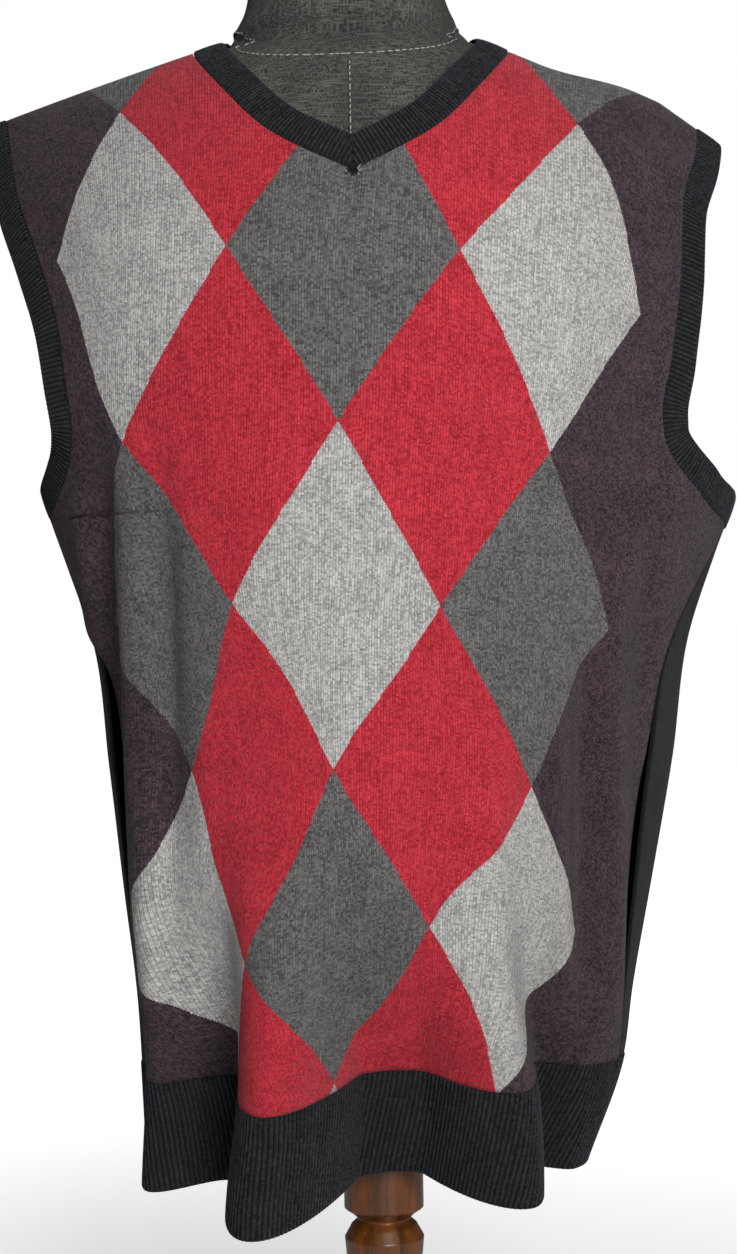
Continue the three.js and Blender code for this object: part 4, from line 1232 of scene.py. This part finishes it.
WOOD_FINISH = turned_wood()
heights = np.concatenate([
    np.linspace(COLUMN[0, 0], PLAIN_FROM, 260)[:-1], np.linspace(PLAIN_FROM, COLUMN[-1, 0], 50),
])
column_profile = np.stack([heights, np.interp(heights, *COLUMN.T)], axis=-1)[::-1]
column = add_solid("stand_column_wood", turned(column_profile, COLUMN_SIDES))
rim = np.linspace(0, np.pi / 2, 8)
foot_profile = np.concatenate([
    [[FOOT_HEIGHT, FOOT_FLAT]],
    np.stack([FOOT_HEIGHT - FOOT_EDGE * (1 - np.cos(rim)),
              FOOT_RADIUS - FOOT_EDGE * (1 - np.sin(rim))], axis=-1),
    [[3, FOOT_RADIUS], [0.8, FOOT_RADIUS - 0.7], [0, FOOT_RADIUS - 2]],
])
foot = add_solid("stand_foot_wood", turned(foot_profile, FOOT_SIDES))
for piece, replaced in ((column, "stand_column"), (foot, "stand_foot")):
    piece.data.materials.append(WOOD_FINISH)
    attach(piece, "root")
    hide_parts(replaced)

# Studio: a plain pale floor and surround, which the camera sees near white and which light the
# piece only a little, a soft lamp low at the right of the camera and a broad one overhead.
FLOOR_NEAR, FLOOR_FAR = (0.2, 0.3), (1.6, 0.92)
FLOOR_REACH = 12000.0
SURROUND_LIGHT, SURROUND_SEEN = 0.1, 1.0
floor_material, floor_shader = new_material("pale_matt_floor")
floor_shader.inputs["Base Color"].default_value = linear("#F4F4F4")
floor_shader.inputs["Roughness"].default_value = 0.9
floor_shader.inputs["Emission Color"].default_value = (1, 1, 1, 1)
floor_place = node(floor_material, "ShaderNodeTexCoord").outputs["Object"]
floor_distance = node(floor_material, "ShaderNodeVectorMath", {0: floor_place},
                      operation="LENGTH").outputs["Value"]
floor_glow = node(floor_material, "ShaderNodeMapRange",
                  {0: floor_distance, 1: FLOOR_NEAR[0], 2: FLOOR_FAR[0],
                   3: FLOOR_NEAR[1], 4: FLOOR_FAR[1]},
                  interpolation_type="SMOOTHSTEP").outputs[0]
floor_seen = node(floor_material, "ShaderNodeLightPath").outputs["Is Camera Ray"]
floor_glow = node(floor_material, "ShaderNodeMath", {0: floor_glow, 1: floor_seen},
                  operation="MULTIPLY").outputs[0]
floor_material.node_tree.links.new(floor_glow, floor_shader.inputs["Emission Strength"])
floor_points = np.array([[-1, -1, 0], [1, -1, 0], [1, 1, 0], [-1, 1, 0]]) * FLOOR_REACH
floor = add_mesh("floor", floor_points, np.array([[0, 1, 2, 3]]))
floor.data.materials.append(floor_material)

world = bpy.data.worlds.new("pale_surround")
world.use_nodes = True
seen = world.node_tree.nodes.new("ShaderNodeLightPath").outputs["Is Camera Ray"]
strength = world.node_tree.nodes.new("ShaderNodeMapRange")
strength.inputs["To Min"].default_value = SURROUND_LIGHT
strength.inputs["To Max"].default_value = SURROUND_SEEN
surround = world.node_tree.nodes["Background"]
surround.inputs["Color"].default_value = (1, 1, 1, 1)
world.node_tree.links.new(seen, strength.inputs["Value"])
world.node_tree.links.new(strength.outputs["Result"], surround.inputs["Strength"])
bpy.context.scene.world = world
bpy.context.scene.view_settings.view_transform = "Standard"


def soft_lamp(name, place, target, size, power):
    """A square soft lamp at a place, turned to its target."""
    lamp = bpy.data.lights.new(name, "AREA")
    lamp.size = size
    lamp.energy = power
    holder = bpy.data.objects.new(name, lamp)
    back = np.array(place, float) - np.array(target, float)
    back /= np.linalg.norm(back)
    right = np.cross([0, 0, 1], back)
    right /= np.linalg.norm(right)
    up = np.cross(back, right)
    turn = Matrix([*zip(right, up, back)]).to_4x4()
    turn.translation = place
    holder.matrix_world = turn
    bpy.context.scene.collection.objects.link(holder)


soft_lamp("key_right", (0.42, -1.6, 0.95), (0, 0, 0.6), 0.6, 26)
soft_lamp("overhead", (0.1, 0.1, 3.2), (0, 0, 0), 3.0, 30)

# Camera: level, 1.42 m in front of the stand's axis at 0.566 m, leaning one degree. Its focal
# length is 2210 pixels of a frame 1254 pixels high.
LENS_PLACE = (-0.0035, -1.42, 0.566)
FOCAL_PIXELS, FRAME_PIXELS, SENSOR = 2210, 1254, 36
roll = np.radians(1.0)
lens = bpy.data.cameras.new("camera")
lens.sensor_width = SENSOR
lens.lens = SENSOR * FOCAL_PIXELS / FRAME_PIXELS
camera = bpy.data.objects.new("camera", lens)
camera.matrix_world = Matrix([
    [np.cos(roll), np.sin(roll), 0, LENS_PLACE[0]],
    [0, 0, -1, LENS_PLACE[1]],
    [-np.sin(roll), np.cos(roll), 0, LENS_PLACE[2]],
    [0, 0, 0, 1],
])
bpy.context.scene.collection.objects.link(camera)
bpy.context.scene.camera = camera
